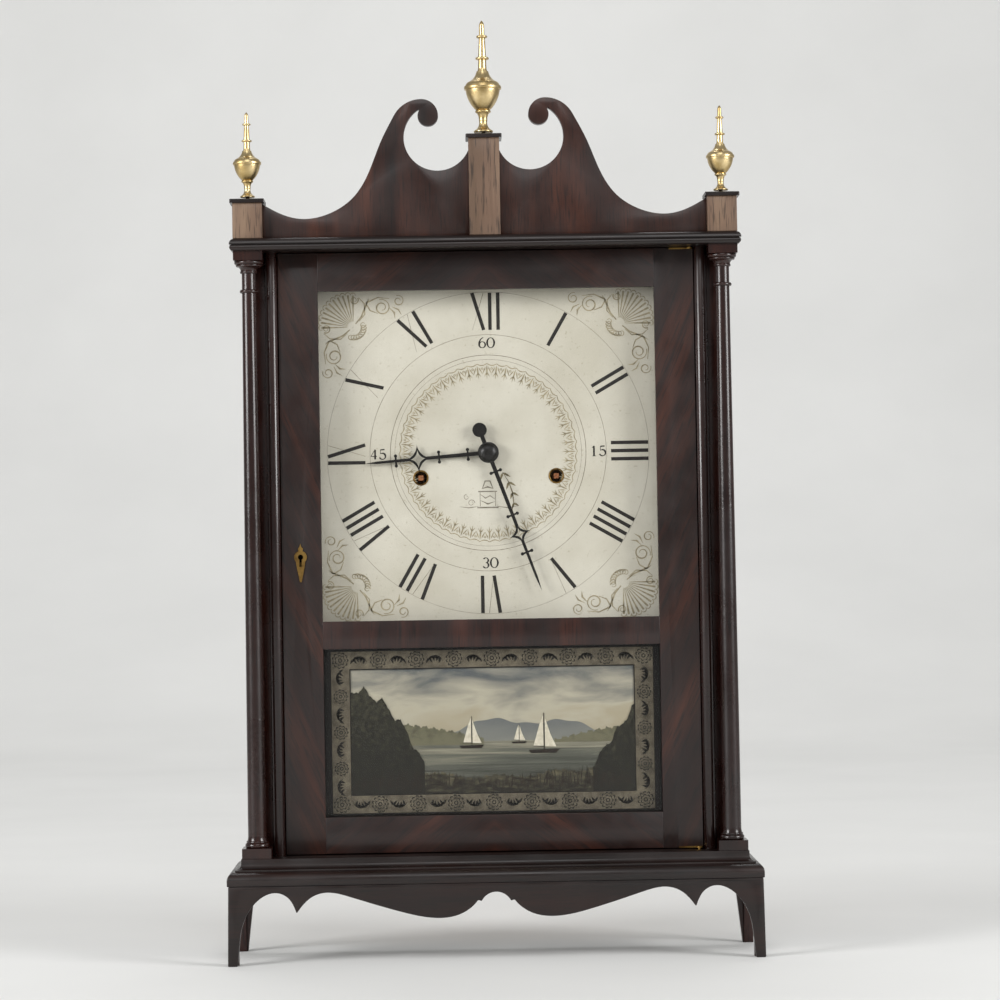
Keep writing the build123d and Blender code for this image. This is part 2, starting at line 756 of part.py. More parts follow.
def make_door():
    edge = door_width / 2
    pockets = glass_pocket(tablet_z, tablet_top) + glass_pocket(dial_opening_z, dial_opening_top)
    left = block(-edge, -opening_half, door_front, door_back, door_bottom, door_top)
    left = left - pockets - lock_recess() - keyhole(door_front, door_back)
    save("door_stile_left", left)
    top_plate = pivot_plate(door_top - pivot_plate_thickness)
    bottom_plate = pivot_plate(door_bottom)
    right = block(opening_half, edge, door_front, door_back, door_bottom, door_top)
    save("door_stile_right", right - pockets - top_plate - bottom_plate)
    rails = (
        ("door_rail_top", dial_opening_top, door_top),
        ("door_rail_middle", tablet_top, dial_opening_z),
        ("door_rail_bottom", door_bottom, tablet_z))
    for name, low, high in rails:
        rail = block(-opening_half, opening_half, door_front, door_back, low, high)
        save(name, rail - pockets)
    pin_x = edge - pivot_inset
    pin_y = door_front - pivot_stand
    top_pin = upright(pin_x, pin_y, pivot_pin_radius, door_top - 0.1, ceiling_z + pivot_pin_depth)
    low_pin = upright(pin_x, pin_y, pivot_pin_radius, floor_z - pivot_pin_depth, door_bottom + 0.1)
    save("door_pivots", top_plate + top_pin, bottom_plate + low_pin)
    panes = (("dial_glass", dial_opening_z, dial_opening_top), ("tablet_glass", tablet_z, tablet_top))
    for name, low, high in panes:
        half = opening_half + rebate_width - glass_clearance
        reach = rebate_width - glass_clearance
        save(name, block(-half, half, glass_y, glass_y + glass_thickness, low - reach, high + reach))


def make_lock():
    outer = lock_recess()
    wall_y = door_back - lock_thickness + lock_wall
    cavity_half = bolt_height / 2 + bolt_clearance
    edge = -door_width / 2
    cavity = block(
        edge, edge + bolt_length + 2 * bolt_clearance + 1, wall_y, door_back - lock_wall,
        keyhole_z - cavity_half, keyhole_z + cavity_half)
    save("lock_case", outer - cavity - keyhole(wall_y - lock_wall, wall_y))
    bolt_x = edge + bolt_clearance
    save("lock_bolt", block(
        bolt_x, bolt_x + bolt_length, lock_slot_y(), lock_slot_y() + bolt_thickness(),
        keyhole_z - bolt_height / 2, keyhole_z + bolt_height / 2))
    tail_z = keyhole_z - escutcheon_tail_length
    tip_z = keyhole_z + escutcheon_tip_height
    ring = Pos(keyhole_x, keyhole_z) * Circle(escutcheon_ring_radius)
    bead = Pos(keyhole_x, keyhole_z + escutcheon_ring_radius + 1.2) * Circle(2.1)
    tail_widths = ((4.1, keyhole_z - 2.5), (3.0, keyhole_z - 10), (0.7, tail_z))
    right = [(keyhole_x + width, z) for width, z in tail_widths]
    left = [(keyhole_x - width, z) for width, z in reversed(tail_widths)]
    tail = make_face(Polyline(*right, *left, close=True))
    tip = make_face(Polyline(
        (keyhole_x - 1.3, keyhole_z + 7), (keyhole_x, tip_z), (keyhole_x + 1.3, keyhole_z + 7), close=True))
    plate = front_cut(ring + bead + tail + tip, door_front - escutcheon_thickness, door_front)
    save("escutcheon", plate - keyhole(door_front - escutcheon_thickness, door_front))


# Dial and hands

def make_dial():
    half = dial_width / 2
    low = (dial_opening_z + dial_opening_top - dial_height) / 2
    board = block(-half, half, dial_y, dial_back, low, low + dial_height)
    board -= rod(0, dial_centre_z, dial_centre_hole_radius, dial_y, dial_back)
    for x in (-winding_x, winding_x):
        board -= rod(x, winding_z, winding_hole_radius, dial_y, dial_back)
    save("dial_board", board)
    rails = []
    for rail_low in (low + dial_rail_inset, low + dial_height - dial_rail_inset - dial_rail_height):
        rails.append(block(
            -side_inner_x, side_inner_x, dial_back, dial_back + dial_rail_thickness,
            rail_low, rail_low + dial_rail_height))
    save("dial_rails", *rails)


def concave_diamond(half_width, half_length):
    """A four-pointed figure with sides that curve inwards."""
    points = [(0, half_length), (half_width, 0), (0, -half_length), (-half_width, 0)]
    sides = []
    for start, end in zip(points, points[1:] + points[:1]):
        sag = (0.33 * (start[0] + end[0]), 0.33 * (start[1] + end[1]))
        sides.append(ThreePointArc(start, sag, end))
    return make_face(sides)


def hand_outline(length, bars, diamond_at, half_width, half_length):
    """A hand that points up: tapered shaft, crossbars with balls and an open diamond."""
    shaft = make_face(Polyline(
        (-hand_root_width / 2, 0), (-hand_tip_width / 2, length * 0.9), (0, length),
        (hand_tip_width / 2, length * 0.9), (hand_root_width / 2, 0), close=True))
    diamond = Pos(0, diamond_at) * concave_diamond(half_width, half_length)
    hollow_half_width = half_width - 2.6 * hand_line_width
    hollow_half_length = half_length - 2.6 * hand_line_width
    hollow = Pos(0, diamond_at) * concave_diamond(hollow_half_width, hollow_half_length)
    outline = shaft + diamond - hollow + Circle(hand_hub_radius)
    for height in bars:
        outline += Pos(0, height) * Rectangle(crossbar_length, crossbar_width)
        for side in (-1, 1):
            outline += Pos(side * crossbar_length / 2, height) * Circle(crossbar_ball_radius)
    return outline


def make_hands():
    turn = Pos(0, dial_centre_z) * Rot(0, 0, -hour_hand_angle)
    outline = hand_outline(hour_hand_length, (17.4, 41.9, 78.6), 59.8, 12.3, 10.6)
    outline -= Circle(hour_pipe_radius)
    save("hour_hand", front_cut(turn * outline, hour_hand_front, hour_hand_y))
    turn = Pos(0, dial_centre_z) * Rot(0, 0, -minute_hand_angle)
    outline = hand_outline(minute_hand_length, (17.4, 56.8, 90.6), 74.0, 9.1, 10.0)
    outline += Pos(0, -tail_length / 2) * Rectangle(hand_root_width, tail_length)
    outline += Pos(0, -tail_length) * Circle(tail_ball_radius)
    outline -= Circle(cannon_radius)
    save("minute_hand", front_cut(turn * outline, minute_hand_front, minute_hand_y))
    nut = turned([
        (nut_radius, 0), (nut_radius, 0.9), (nut_radius - 1.1, 1.2),
        ((nut_radius * 0.62, nut_height - 0.9), (0.5, nut_height))])
    save("hand_nut", Pos(0, minute_hand_front, dial_centre_z) * Rot(90, 0, 0) * nut)


# Movement plates and motion work

def make_plates():
    half = plate_width / 2
    front = block(-half, half, front_plate_y, front_plate_back, plate_z, plate_z + plate_height)
    back = block(-half, half, back_plate_y, back_plate_back, plate_z, plate_z + plate_height)
    holes = [(0, dial_centre_z, arbor_radius), (pendulum_x, escape_z, pivot_radius)]
    holes += [(x, winding_z, winding_arbor_radius) for x in (-winding_x, winding_x)]
    holes += [(pendulum_x, pendulum_z, verge_arbor_radius), (hammer_x, hammer_z, hammer_arbor_radius)]
    for x, z, radius in holes:
        front -= rod(x, z, radius + running_clearance, front_plate_y, front_plate_back)
        back -= rod(x, z, back_hole(radius) + running_clearance, back_plate_y, back_plate_back)
    pillars = []
    for x in (-pillar_x, pillar_x):
        for z in (plate_z + pillar_edge_inset, plate_z + plate_height - pillar_edge_inset):
            front -= rod(x, z, pillar_tenon_radius, front_plate_y, front_plate_back)
            back -= rod(x, z, pillar_tenon_radius, back_plate_y, back_plate_back)
            pillar = rod(x, z, pillar_radius, front_plate_back, back_plate_y)
            pillars.append(pillar + rod(x, z, pillar_tenon_radius, front_plate_y, backboard_y))
    suspension = block(
        pendulum_x - suspension_block_width / 2, pendulum_x + suspension_block_width / 2,
        pendulum_y - pendulum_rod_radius, front_plate_y,
        suspension_z(), suspension_z() + suspension_block_height)
    motion_stud = rod(motion_x, motion_z, motion_stud_radius, hour_wheel_front, front_plate_y)
    save("front_plate", front, suspension, motion_stud)
    save("back_plate", back)
    save("plate_pillars", *pillars)


def back_hole(front_radius):
    """Wheel arbors thin down to their pivots in the back plate."""
    return pivot_radius if front_radius in (arbor_radius, winding_arbor_radius) else front_radius


def suspension_z():
    return pendulum_z + 6.0


def make_motion_work():
    module = motion_module
    cannon = toothed(0, dial_centre_z, cannon_teeth, module, motion_wheel_angle)
    cannon = front_cut(cannon, motion_rear_front, motion_rear_y)
    cannon += rod(0, dial_centre_z, cannon_radius, minute_hand_front, motion_rear_front)
    cannon -= rod(0, dial_centre_z, arbor_radius + running_clearance, minute_hand_front, motion_rear_y)
    save("cannon_pinion", cannon)
    back_angle = motion_wheel_angle + 180
    wheel_aim = back_angle + 180 / motion_wheel_teeth
    wheel = toothed(motion_x, motion_z, motion_wheel_teeth, module, wheel_aim)
    wheel = front_cut(wheel, motion_rear_front, motion_rear_y)
    pinion = toothed(motion_x, motion_z, motion_pinion_teeth, module, back_angle)
    wheel += front_cut(pinion, hour_wheel_front, motion_rear_front)
    wheel -= rod(motion_x, motion_z, motion_stud_radius + running_clearance, hour_wheel_front, motion_rear_y)
    save("motion_wheel", wheel)
    hour_aim = motion_wheel_angle + 180 / hour_wheel_teeth
    hour = toothed(0, dial_centre_z, hour_wheel_teeth, module, hour_aim)
    hour = front_cut(hour, hour_wheel_front, hour_wheel_y)
    hour += rod(0, dial_centre_z, hour_pipe_radius, hour_hand_front, hour_wheel_front)
    hour -= rod(0, dial_centre_z, cannon_radius + running_clearance, hour_hand_front, hour_wheel_y)
    save("hour_wheel", hour)


# Going and striking wheels

def make_wheels():
    centre_z = dial_centre_z
    distance = hypot(winding_x, winding_drop)
    module = 2 * distance / (great_wheel_teeth + centre_pinion_teeth)
    to_drum = degrees(atan2(-winding_drop, winding_x))
    great_aim = to_drum + 180 + 180 / great_wheel_teeth
    great_back = great_wheel_y + wheel_thickness
    great = toothed(winding_x, winding_z, great_wheel_teeth, module, great_aim)
    great = front_cut(great, great_wheel_y, great_back)
    bore = winding_arbor_radius + running_clearance
    save("time_great_wheel", great - rod(winding_x, winding_z, bore, great_wheel_y, great_back))
    strike_module = 2 * strike_wheel_radius / strike_wheel_teeth
    strike = toothed(-winding_x, winding_z, strike_wheel_teeth, strike_module, 0)
    strike = front_cut(strike, great_wheel_y, great_back)
    save("strike_great_wheel", strike - rod(-winding_x, winding_z, bore, great_wheel_y, great_back))

    pinion = toothed(0, centre_z, centre_pinion_teeth, module, to_drum)
    pinion = front_cut(pinion, great_wheel_y - pinion_overlap, great_back + pinion_overlap)
    to_escape = degrees(atan2(escape_z - centre_z, pendulum_x))
    escape_module = 2 * escape_distance / (centre_wheel_teeth + escape_pinion_teeth)
    wheel_back = centre_wheel_y + wheel_thickness
    wheel = toothed(0, centre_z, centre_wheel_teeth, escape_module, to_escape)
    wheel = front_cut(wheel, centre_wheel_y, wheel_back)
    save("centre_wheel", arbor(0, centre_z, minute_hand_front + 0.7) + pinion + wheel)

    pinion_aim = to_escape + 180 + 180 / escape_pinion_teeth
    pinion = toothed(pendulum_x, escape_z, escape_pinion_teeth, escape_module, pinion_aim)
    pinion = front_cut(pinion, centre_wheel_y - pinion_overlap, wheel_back + pinion_overlap)
    points = []
    for tooth in range(escape_wheel_teeth):
        for radius, share in ((escape_wheel_radius - escape_wheel_depth, 0), (escape_wheel_radius, 0.25),
                              (escape_wheel_radius, 0.35)):
            angle = (tooth + share) * 2 * pi / escape_wheel_teeth
            points.append((pendulum_x + radius * cos(angle), escape_z + radius * sin(angle)))
    ratchet = make_face(Polyline(*points, close=True))
    escape = front_cut(ratchet, escape_wheel_y, escape_wheel_y + escape_wheel_thickness)
    save("escape_wheel", arbor(pendulum_x, escape_z) + pinion + escape)


# Drums, pulleys, cords and weights

def drum(x):
    """Winding arbor with its square front end and the drum between two flanges."""
    shoulder = front_plate_y - 6
    square = Pos(x, winding_z) * Rectangle(winding_square, winding_square)
    body = front_cut(square, dial_y + 0.8, shoulder)
    body += rod(x, winding_z, winding_arbor_radius, shoulder, back_plate_y - end_shake)
    body += rod(x, winding_z, pivot_radius, back_plate_y - end_shake, back_plate_back - pivot_recess)
    body += rod(x, winding_z, drum_radius, drum_y, drum_y + drum_width)
    for flange_y in (drum_y - drum_flange_thickness, drum_y + drum_width):
        body += rod(x, winding_z, drum_flange_radius, flange_y, flange_y + drum_flange_thickness)
    return body


def pulley(x):
    """Grooved wooden pulley on the top board."""
    low = cord_plane_y - pulley_width / 2
    high = cord_plane_y + pulley_width / 2
    body = rod(x, pulley_z, pulley_groove_radius, low, high)
    body += rod(x, pulley_z, pulley_flange_radius, low, low + pulley_flange_thickness)
    body += rod(x, pulley_z, pulley_flange_radius, high - pulley_flange_thickness, high)
    return body - rod(x, pulley_z, pulley_axle_radius + running_clearance, low, high)


def cord():
    """Cord on the +X side: up from the drum, over the pulley and down to the weight."""
    run_x = pulley_x - winding_x
    run_z = pulley_z - winding_z
    lean = atan2(run_z, run_x) + asin((cord_drum_radius + cord_pulley_radius) / hypot(run_x, run_z))
    away = (sin(lean), -cos(lean))
    start = (winding_x + cord_drum_radius * away[0], winding_z + cord_drum_radius * away[1])
    meet = (pulley_x - cord_pulley_radius * away[0], pulley_z - cord_pulley_radius * away[1])
    over = (lean + pi / 2) / 2
    crown = (pulley_x + cord_pulley_radius * cos(over), pulley_z + cord_pulley_radius * sin(over))
    leave = (weight_x, pulley_z)
    end = (weight_x, weight_ring_top + cord_seat)
    path = Curve(children=[Line(start, meet), ThreePointArc(meet, crown, leave), Line(leave, end)])
    path = Plane((0, cord_plane_y, 0), x_dir=(1, 0, 0), z_dir=(0, -1, 0)) * path
    section = Plane(path @ 0, z_dir=path % 0) * Circle(cord_radius)
    return sweep(section, path=path)


def weight(x):
    """Iron weight with a ring for the cord."""
    body = upright(x, cord_plane_y, weight_radius, weight_z, weight_top)
    body = chamfer(body.edges(), 1.5)
    ring_z = weight_top + weight_ring_radius
    ring = Pos(x, cord_plane_y, ring_z) * Rot(90, 0, 0) * Torus(weight_ring_radius, weight_wire_radius)
    return body + ring


def cover(side):
    """Tin cover over a pulley, and the axle that lies in the board under it."""
    x = side * pulley_x
    axle_half = pulley_width / 2 + pulley_side_clearance + axle_bearing
    half_x = pulley_slot_reach + cover_clearance
    half_y = axle_half + cover_clearance
    shell = block(
        x - half_x, x + half_x, cord_plane_y - half_y, cord_plane_y + half_y, roof_z, roof_z + cover_height)
    shell -= block(
        x - half_x + cover_wall, x + half_x - cover_wall, cord_plane_y - half_y + cover_wall,
        cord_plane_y + half_y - cover_wall, roof_z, roof_z + cover_height - cover_wall)
    axle = rod(x, pulley_z, pulley_axle_radius, cord_plane_y - axle_half, cord_plane_y + axle_half)
    return [shell, axle]


def make_winding():
    save("time_drum", drum(winding_x))
    save("strike_drum", drum(-winding_x))
    save("pulley_time", pulley(pulley_x))
    save("pulley_strike", pulley(-pulley_x))
    save("pulley_covers", *cover(1), *cover(-1))
    save("weight_time", weight(weight_x))
    save("weight_strike", weight(-weight_x))
    right = cord()
    save("cord_time", right)
    save("cord_strike", mirror(right, Plane.YZ))


# Pendulum, verge, bell and hammer

def make_pendulum():
    bob_z = pendulum_z - pendulum_length
    low = bob_z - bob_radius - cord_seat
    bar = upright(pendulum_x, pendulum_y, pendulum_rod_radius, low - 1, suspension_z() - suspension_gap)
    bar += upright(pendulum_x, pendulum_y, rating_nut_radius, low - rating_nut_height, low)
    save("pendulum_rod", bar)
    edge = 1.0
    lens = turned([
        (bob_radius, -edge), (bob_radius, edge),
        ((bob_radius * 0.55, bob_thickness * 0.39), (0.5, bob_thickness / 2))])
    lower = mirror(lens, Plane.XY)
    bob = Pos(pendulum_x, pendulum_y, bob_z) * Rot(90, 0, 0) * (lens + lower)
    hole = pendulum_rod_radius + running_clearance
    save("pendulum_bob", bob - upright(pendulum_x, pendulum_y, hole, bob_z - bob_radius, bob_z + bob_radius))


def make_verge():
    """Verge arbor with its bent pallet strip and the crutch that drives the rod."""
    inner = escape_wheel_radius + verge_clearance
    outer = inner + verge_band
    strip_front = escape_wheel_y
    strip_back = escape_wheel_y + escape_wheel_thickness
    reach = radians(verge_reach)

    def at(radius, angle):
        return (pendulum_x + radius * sin(angle), escape_z + radius * cos(angle))

    band = make_face([
        ThreePointArc(at(inner, -reach), at(inner, 0), at(inner, reach)),
        Line(at(inner, reach), at(outer, reach)),
        ThreePointArc(at(outer, reach), at(outer, 0), at(outer, -reach)),
        Line(at(outer, -reach), at(inner, -reach))])
    neck_low = escape_z + inner + verge_band / 2
    neck = Pos(pendulum_x, (neck_low + pendulum_z) / 2) * Rectangle(2 * verge_band, pendulum_z - neck_low)
    crutch_front = front_plate_y - 1.6
    crutch_back = crutch_front + crutch_thickness
    body = front_cut(band + neck, strip_front, strip_back)
    body += rod(pendulum_x, pendulum_z, verge_arbor_radius, crutch_front, back_plate_back - pivot_recess)
    body += block(
        pendulum_x - crutch_width / 2, pendulum_x + crutch_width / 2, crutch_front, crutch_back,
        pendulum_z - crutch_length, pendulum_z + crutch_width / 2)
    fork_z = pendulum_z - crutch_length + crutch_width / 2
    spread = pendulum_rod_radius + cord_seat + fork_pin_radius
    fork_half = spread + fork_pin_radius
    body += block(
        pendulum_x - fork_half, pendulum_x + fork_half, crutch_front, crutch_back,
        fork_z - crutch_width / 2, fork_z + crutch_width / 2)
    for side in (-1, 1):
        pin_x = pendulum_x + side * spread
        body += rod(pin_x, fork_z, fork_pin_radius, pendulum_y - pendulum_rod_radius, crutch_back)
    save("verge", body)


def make_bell():
    """Cup-shaped bell on its stud, and the hammer that strikes its rim."""
    crown = backboard_y - 5
    rim_y = crown
    front = crown - bell_depth
    cup = turned([
        (bell_radius, 0), ((bell_radius * 0.93, bell_depth * 0.62), (bell_radius * 0.62, bell_depth - 1)),
        (bell_stud_radius + 2, bell_depth)])
    inner_radius = bell_radius - bell_wall
    inside = turned([
        (inner_radius, 0), ((inner_radius * 0.93, (bell_depth - bell_wall) * 0.62),
                            (inner_radius * 0.62, bell_depth - 1 - bell_wall)),
        (bell_stud_radius + 2, bell_depth - bell_wall)])
    place = Pos(bell_x, rim_y, bell_z) * Rot(90, 0, 0)
    bell = place * (cup - inside) - rod(bell_x, bell_z, bell_stud_radius, front, rim_y)
    save("bell", bell, rod(bell_x, bell_z, bell_stud_radius, front - 1.5, backboard_y))

    strike_y = rim_y - bell_depth / 2
    rim_x = bell_x - bell_radius * 0.965
    head_right = rim_x - hammer_gap
    head = Pos(head_right - hammer_head_length / 2, strike_y, bell_z) * Rot(0, 90, 0) * Cylinder(
        hammer_head_radius, hammer_head_length)
    foot = Vector(hammer_x, strike_y, hammer_z)
    top = Vector(head_right - hammer_head_length / 2, strike_y, bell_z)
    wire = sweep(Plane(foot, z_dir=top - foot) * Circle(hammer_wire_radius), path=Line(foot, top))
    axle_back = back_plate_back - pivot_recess
    axle = rod(hammer_x, hammer_z, hammer_arbor_radius, front_plate_y + pivot_recess, axle_back)
    hub = rod(hammer_x, hammer_z, 3.0, strike_y - 3, strike_y + 3)
    save("hammer", head + wire + axle + hub)


make_skirt_front()
make_side_skirts()
make_base_boards()
make_case_boards()
make_front_stiles()
make_cornice()
make_columns()
make_scroll_pediment()
make_plinths()
make_finials()
make_door()
make_lock()
make_dial()
make_hands()
make_plates()
make_motion_work()
make_wheels()
make_winding()
make_pendulum()
make_verge()
make_bell()
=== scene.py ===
# %% [markdown]
# A pillar and scroll shelf clock in dark mahogany, with brass urns and a painted dial.
# The joinery comes ready made as a fixed frame of parts, and this lesson dresses it.
# We load the frame first and print how many parts it has.

# %% Load the frame
import json
from math import atan2, cos, pi, radians, sin

import bpy
import bmesh
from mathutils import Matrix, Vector


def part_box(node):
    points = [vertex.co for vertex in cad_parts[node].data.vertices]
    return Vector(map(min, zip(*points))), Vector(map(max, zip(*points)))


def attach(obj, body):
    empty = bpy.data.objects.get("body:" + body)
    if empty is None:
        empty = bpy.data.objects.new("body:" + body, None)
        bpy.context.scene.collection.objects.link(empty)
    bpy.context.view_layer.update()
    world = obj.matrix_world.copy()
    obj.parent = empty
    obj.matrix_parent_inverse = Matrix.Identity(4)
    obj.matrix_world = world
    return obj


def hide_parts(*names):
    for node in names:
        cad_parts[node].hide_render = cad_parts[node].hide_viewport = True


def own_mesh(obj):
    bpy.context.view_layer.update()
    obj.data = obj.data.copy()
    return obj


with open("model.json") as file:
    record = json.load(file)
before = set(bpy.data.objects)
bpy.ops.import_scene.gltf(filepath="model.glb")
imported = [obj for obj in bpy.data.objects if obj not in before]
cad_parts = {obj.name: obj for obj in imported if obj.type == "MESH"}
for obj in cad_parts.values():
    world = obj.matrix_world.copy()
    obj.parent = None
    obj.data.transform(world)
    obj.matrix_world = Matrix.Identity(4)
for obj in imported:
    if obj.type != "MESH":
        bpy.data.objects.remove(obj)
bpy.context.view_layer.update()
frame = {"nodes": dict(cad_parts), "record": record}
bpy.ops.object.select_all(action="DESELECT")
MM = 0.001
print("frame of", len(frame["nodes"]), "parts")

# %% [markdown]
# The photograph was taken from nearly three metres, just below the middle of the clock.
# A long lens keeps the uprights almost parallel. The slight turn and tilt are the camera's own.

# %% Camera
eye = Vector((-29, -2707, 336)) * MM
yaw, pitch, roll = radians(-0.81), radians(1.01), radians(-0.96)
focal_pixels = 3194
picture_width = 1000
bpy.ops.object.camera_add(location=eye, rotation=(pi / 2 + pitch, 0, yaw))
camera = bpy.context.object
camera.rotation_euler.rotate_axis("Z", roll)
camera.data.sensor_width = 36
camera.data.lens = focal_pixels * camera.data.sensor_width / picture_width
camera.data.clip_end = 50
bpy.context.scene.camera = camera
print("lens", round(camera.data.lens, 1), "mm")

# %% [markdown]
# A finish is a small graph of nodes. One helper adds a node, sets its properties and its inputs,
# and links an input when the value given is another node's output.
# Colours are picked on screen as sRGB, and Blender works in linear light, so one function turns them.

# %% Helpers for finishes
def linear(hex_colour):
    """An sRGB hex colour as linear red, green, blue and alpha."""
    parts = [int(hex_colour[i:i + 2], 16) / 255 for i in (0, 2, 4)]
    return [p / 12.92 if p <= 0.04045 else ((p + 0.055) / 1.055) ** 2.4 for p in parts] + [1]


def add(tree, kind, inputs=None, stops=None, **settings):
    """Add a node: inputs are set or linked, stops are a ramp's places and hex colours."""
    made = tree.nodes.new("ShaderNode" + kind)
    for name, value in settings.items():
        setattr(made, name, value)
    for name, value in (inputs or {}).items():
        if isinstance(value, bpy.types.NodeSocket):
            tree.links.new(value, made.inputs[name])
        else:
            made.inputs[name].default_value = value
    for i, (place, hex_colour) in enumerate(stops or []):
        marks = made.color_ramp.elements
        mark = marks[i] if i < 2 else marks.new(place)
        mark.position = place
        mark.color = linear(hex_colour)
    return made


def finish(name, **surface):
    """A new material with its Principled shader, whose even values are set on its own sockets."""
    made = bpy.data.materials.new(name)
    made.use_nodes = True
    shader = made.node_tree.nodes["Principled BSDF"]
    for socket, value in surface.items():
        shader.inputs[socket.replace("_", " ")].default_value = value
    return made, made.node_tree, shader


def here(tree, scale=(1, 1, 1), turn=(0, 0, 0), mirrored=False):
    """Object coordinates in metres, mirrored about the middle if asked, turned and then scaled."""
    place = add(tree, "TexCoord").outputs["Object"]
    if mirrored:
        place = add(tree, "VectorMath", {"Vector": place}, operation="ABSOLUTE").outputs[0]
    turned = add(tree, "Mapping", {"Vector": place, "Rotation": turn}).outputs[0]
    return add(tree, "Mapping", {"Vector": turned, "Scale": scale}).outputs[0]


def cover(slot_name, material, *nodes):
    """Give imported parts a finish."""
    for n in nodes:
        part = frame["nodes"][n]
        part.data.materials.clear()
        part.data.materials.append(material)
    print(slot_name, len(nodes))


# %% [markdown]
# Mahogany: hard, reddish brown wood, planed, stained dark and varnished by hand.
# Its grain is long soft streaks with short dark pores along it, and the varnish has aged unevenly.
# Noise stretched along the grain gives both, at a streak width of about 4 mm and pores under 1 mm.
# The varnish is a coat over the wood, so the highlight stays sharp while the wood under it is soft.

# %% Mahogany finishes
STREAK_WIDTH = 4 * MM
PORE_WIDTH = 0.7 * MM
GRAIN = {"x": (0.06, 1, 1), "y": (1, 0.06, 1), "z": (1, 1, 0.06)}


def mahogany(name, grain, dark, middle, light, turn=(0, 0, 0), figure=0.35, rough=(0.30, 0.48),
             mirrored=False):
    """Varnished mahogany whose grain runs along x, y or z, after a turn for slanting veneer.

    Mirrored veneer slants both ways from the middle of the clock."""
    made, tree, shader = finish(name, Coat_Weight=0.22, Coat_Roughness=0.14, IOR=1.46)
    stretch = GRAIN[grain]
    streaks = add(tree, "TexNoise", {
        "Vector": here(tree, [s / STREAK_WIDTH / 4 for s in stretch], turn, mirrored),
        "Scale": 1.0, "Detail": 6.0, "Roughness": 0.62, "Distortion": 0.35})
    bands = add(tree, "TexNoise", {
        "Vector": here(tree, [s / 0.035 * (4 if s < 1 else 1) for s in stretch], turn, mirrored),
        "Scale": 1.0, "Detail": 3.0, "Roughness": 0.5})
    pores = add(tree, "TexNoise", {
        "Vector": here(tree, [s / PORE_WIDTH / 2 for s in stretch], turn, mirrored),
        "Scale": 1.0, "Detail": 2.0, "Roughness": 0.6})
    mixed = add(tree, "Mix", {
        "Factor": figure, "A": streaks.outputs[0], "B": bands.outputs[0]}, data_type="FLOAT")
    colour = add(tree, "ValToRGB", {"Fac": mixed.outputs[0]}, stops=[
        (0.33, dark), (0.67, light), (0.5, middle)])
    pits = add(tree, "ValToRGB", {"Fac": pores.outputs[0]}, stops=[
        (0.33, "a6a6a6"), (0.47, "ffffff")])
    wood = add(tree, "Mix", {"Factor": 1.0}, data_type="RGBA", blend_type="MULTIPLY")
    colours = [s for s in wood.inputs if s.type == "RGBA"]
    tree.links.new(colour.outputs[0], colours[0])
    tree.links.new(pits.outputs[0], colours[1])
    out = [s for s in wood.outputs if s.type == "RGBA"][0]
    tree.links.new(out, shader.inputs["Base Color"])
    rubbed = add(tree, "TexNoise", {"Vector": here(tree, (1, 1, 1)), "Scale": 28.0, "Detail": 4.0})
    gloss = add(tree, "MapRange", {
        "Value": rubbed.outputs[0], "From Min": 0.35, "From Max": 0.65,
        "To Min": rough[0], "To Max": rough[1]})
    tree.links.new(gloss.outputs[0], shader.inputs["Roughness"])
    bump = add(tree, "Bump", {"Height": pores.outputs[0], "Strength": 0.12, "Distance": 0.2 * MM})
    tree.links.new(bump.outputs[0], shader.inputs["Normal"])
    return made


rail_wood = mahogany("mahogany_boards_varnished", "x", "0c0402", "150805", "220e08")
mitred_wood = mahogany(
    "mahogany_veneer_mitred", "x", "0c0403", "1f0c07", "3c1c10", (0, radians(-38), 0), 0.5, mirrored=True)
post_wood = mahogany("mahogany_posts_varnished", "z", "140705", "200c08", "30150d", rough=(0.2, 0.34))
side_wood = mahogany("mahogany_sides_varnished", "z", "1a0906", "2a100a", "3b1a10")
slant_left = mahogany(
    "mahogany_veneer_left", "z", "0b0302", "1e0b06", "3d1c0f", (0, radians(24), 0), 0.5)
slant_right = mahogany(
    "mahogany_veneer_right", "z", "0b0302", "1e0b06", "3d1c0f", (0, radians(-24), 0), 0.5)
cross_wood = mahogany("mahogany_crossband", "z", "0c0403", "210c07", "3d1c11", figure=0.5)
scroll_wood = mahogany("mahogany_scroll_veneer", "z", "110503", "2a120a", "472416", figure=0.6)
plinth_wood = mahogany("mahogany_worn_pale", "z", "54402f", "675040", "7e6753", rough=(0.45, 0.62))
print("mahogany in nine cuts")

# %% [markdown]
# Inside the clock the wood is bare: pine for the back, oak for the plates, cherry for what turns.
# Bare wood has no varnish coat, so it is rough all over, and its grain shows more contrast.

# %% Bare woods
def bare_wood(name, grain, dark, middle, light):
    """Planed wood left without a finish."""
    made = mahogany(name, grain, dark, middle, light, figure=0.45, rough=(0.62, 0.8))
    made.node_tree.nodes["Principled BSDF"].inputs["Coat Weight"].default_value = 0
    return made


pine = bare_wood("pine_bare_aged", "z", "7a5a38", "977146", "b08a5a")
oak = bare_wood("oak_bare_quartered", "x", "6b4c2c", "87633d", "a07c50")
cherry = bare_wood("cherry_bare_turned", "y", "6e3f22", "8a5430", "a36a40")


# %% [markdown]
# The brass urns are spun and polished by hand, and have gone a little dull in the hollows.
# A metal takes its colour from its reflection, so metallic is 1 and the pattern is in the roughness.
# Fine rings about half a millimetre apart are left by the lathe, drawn as a bump along the height.

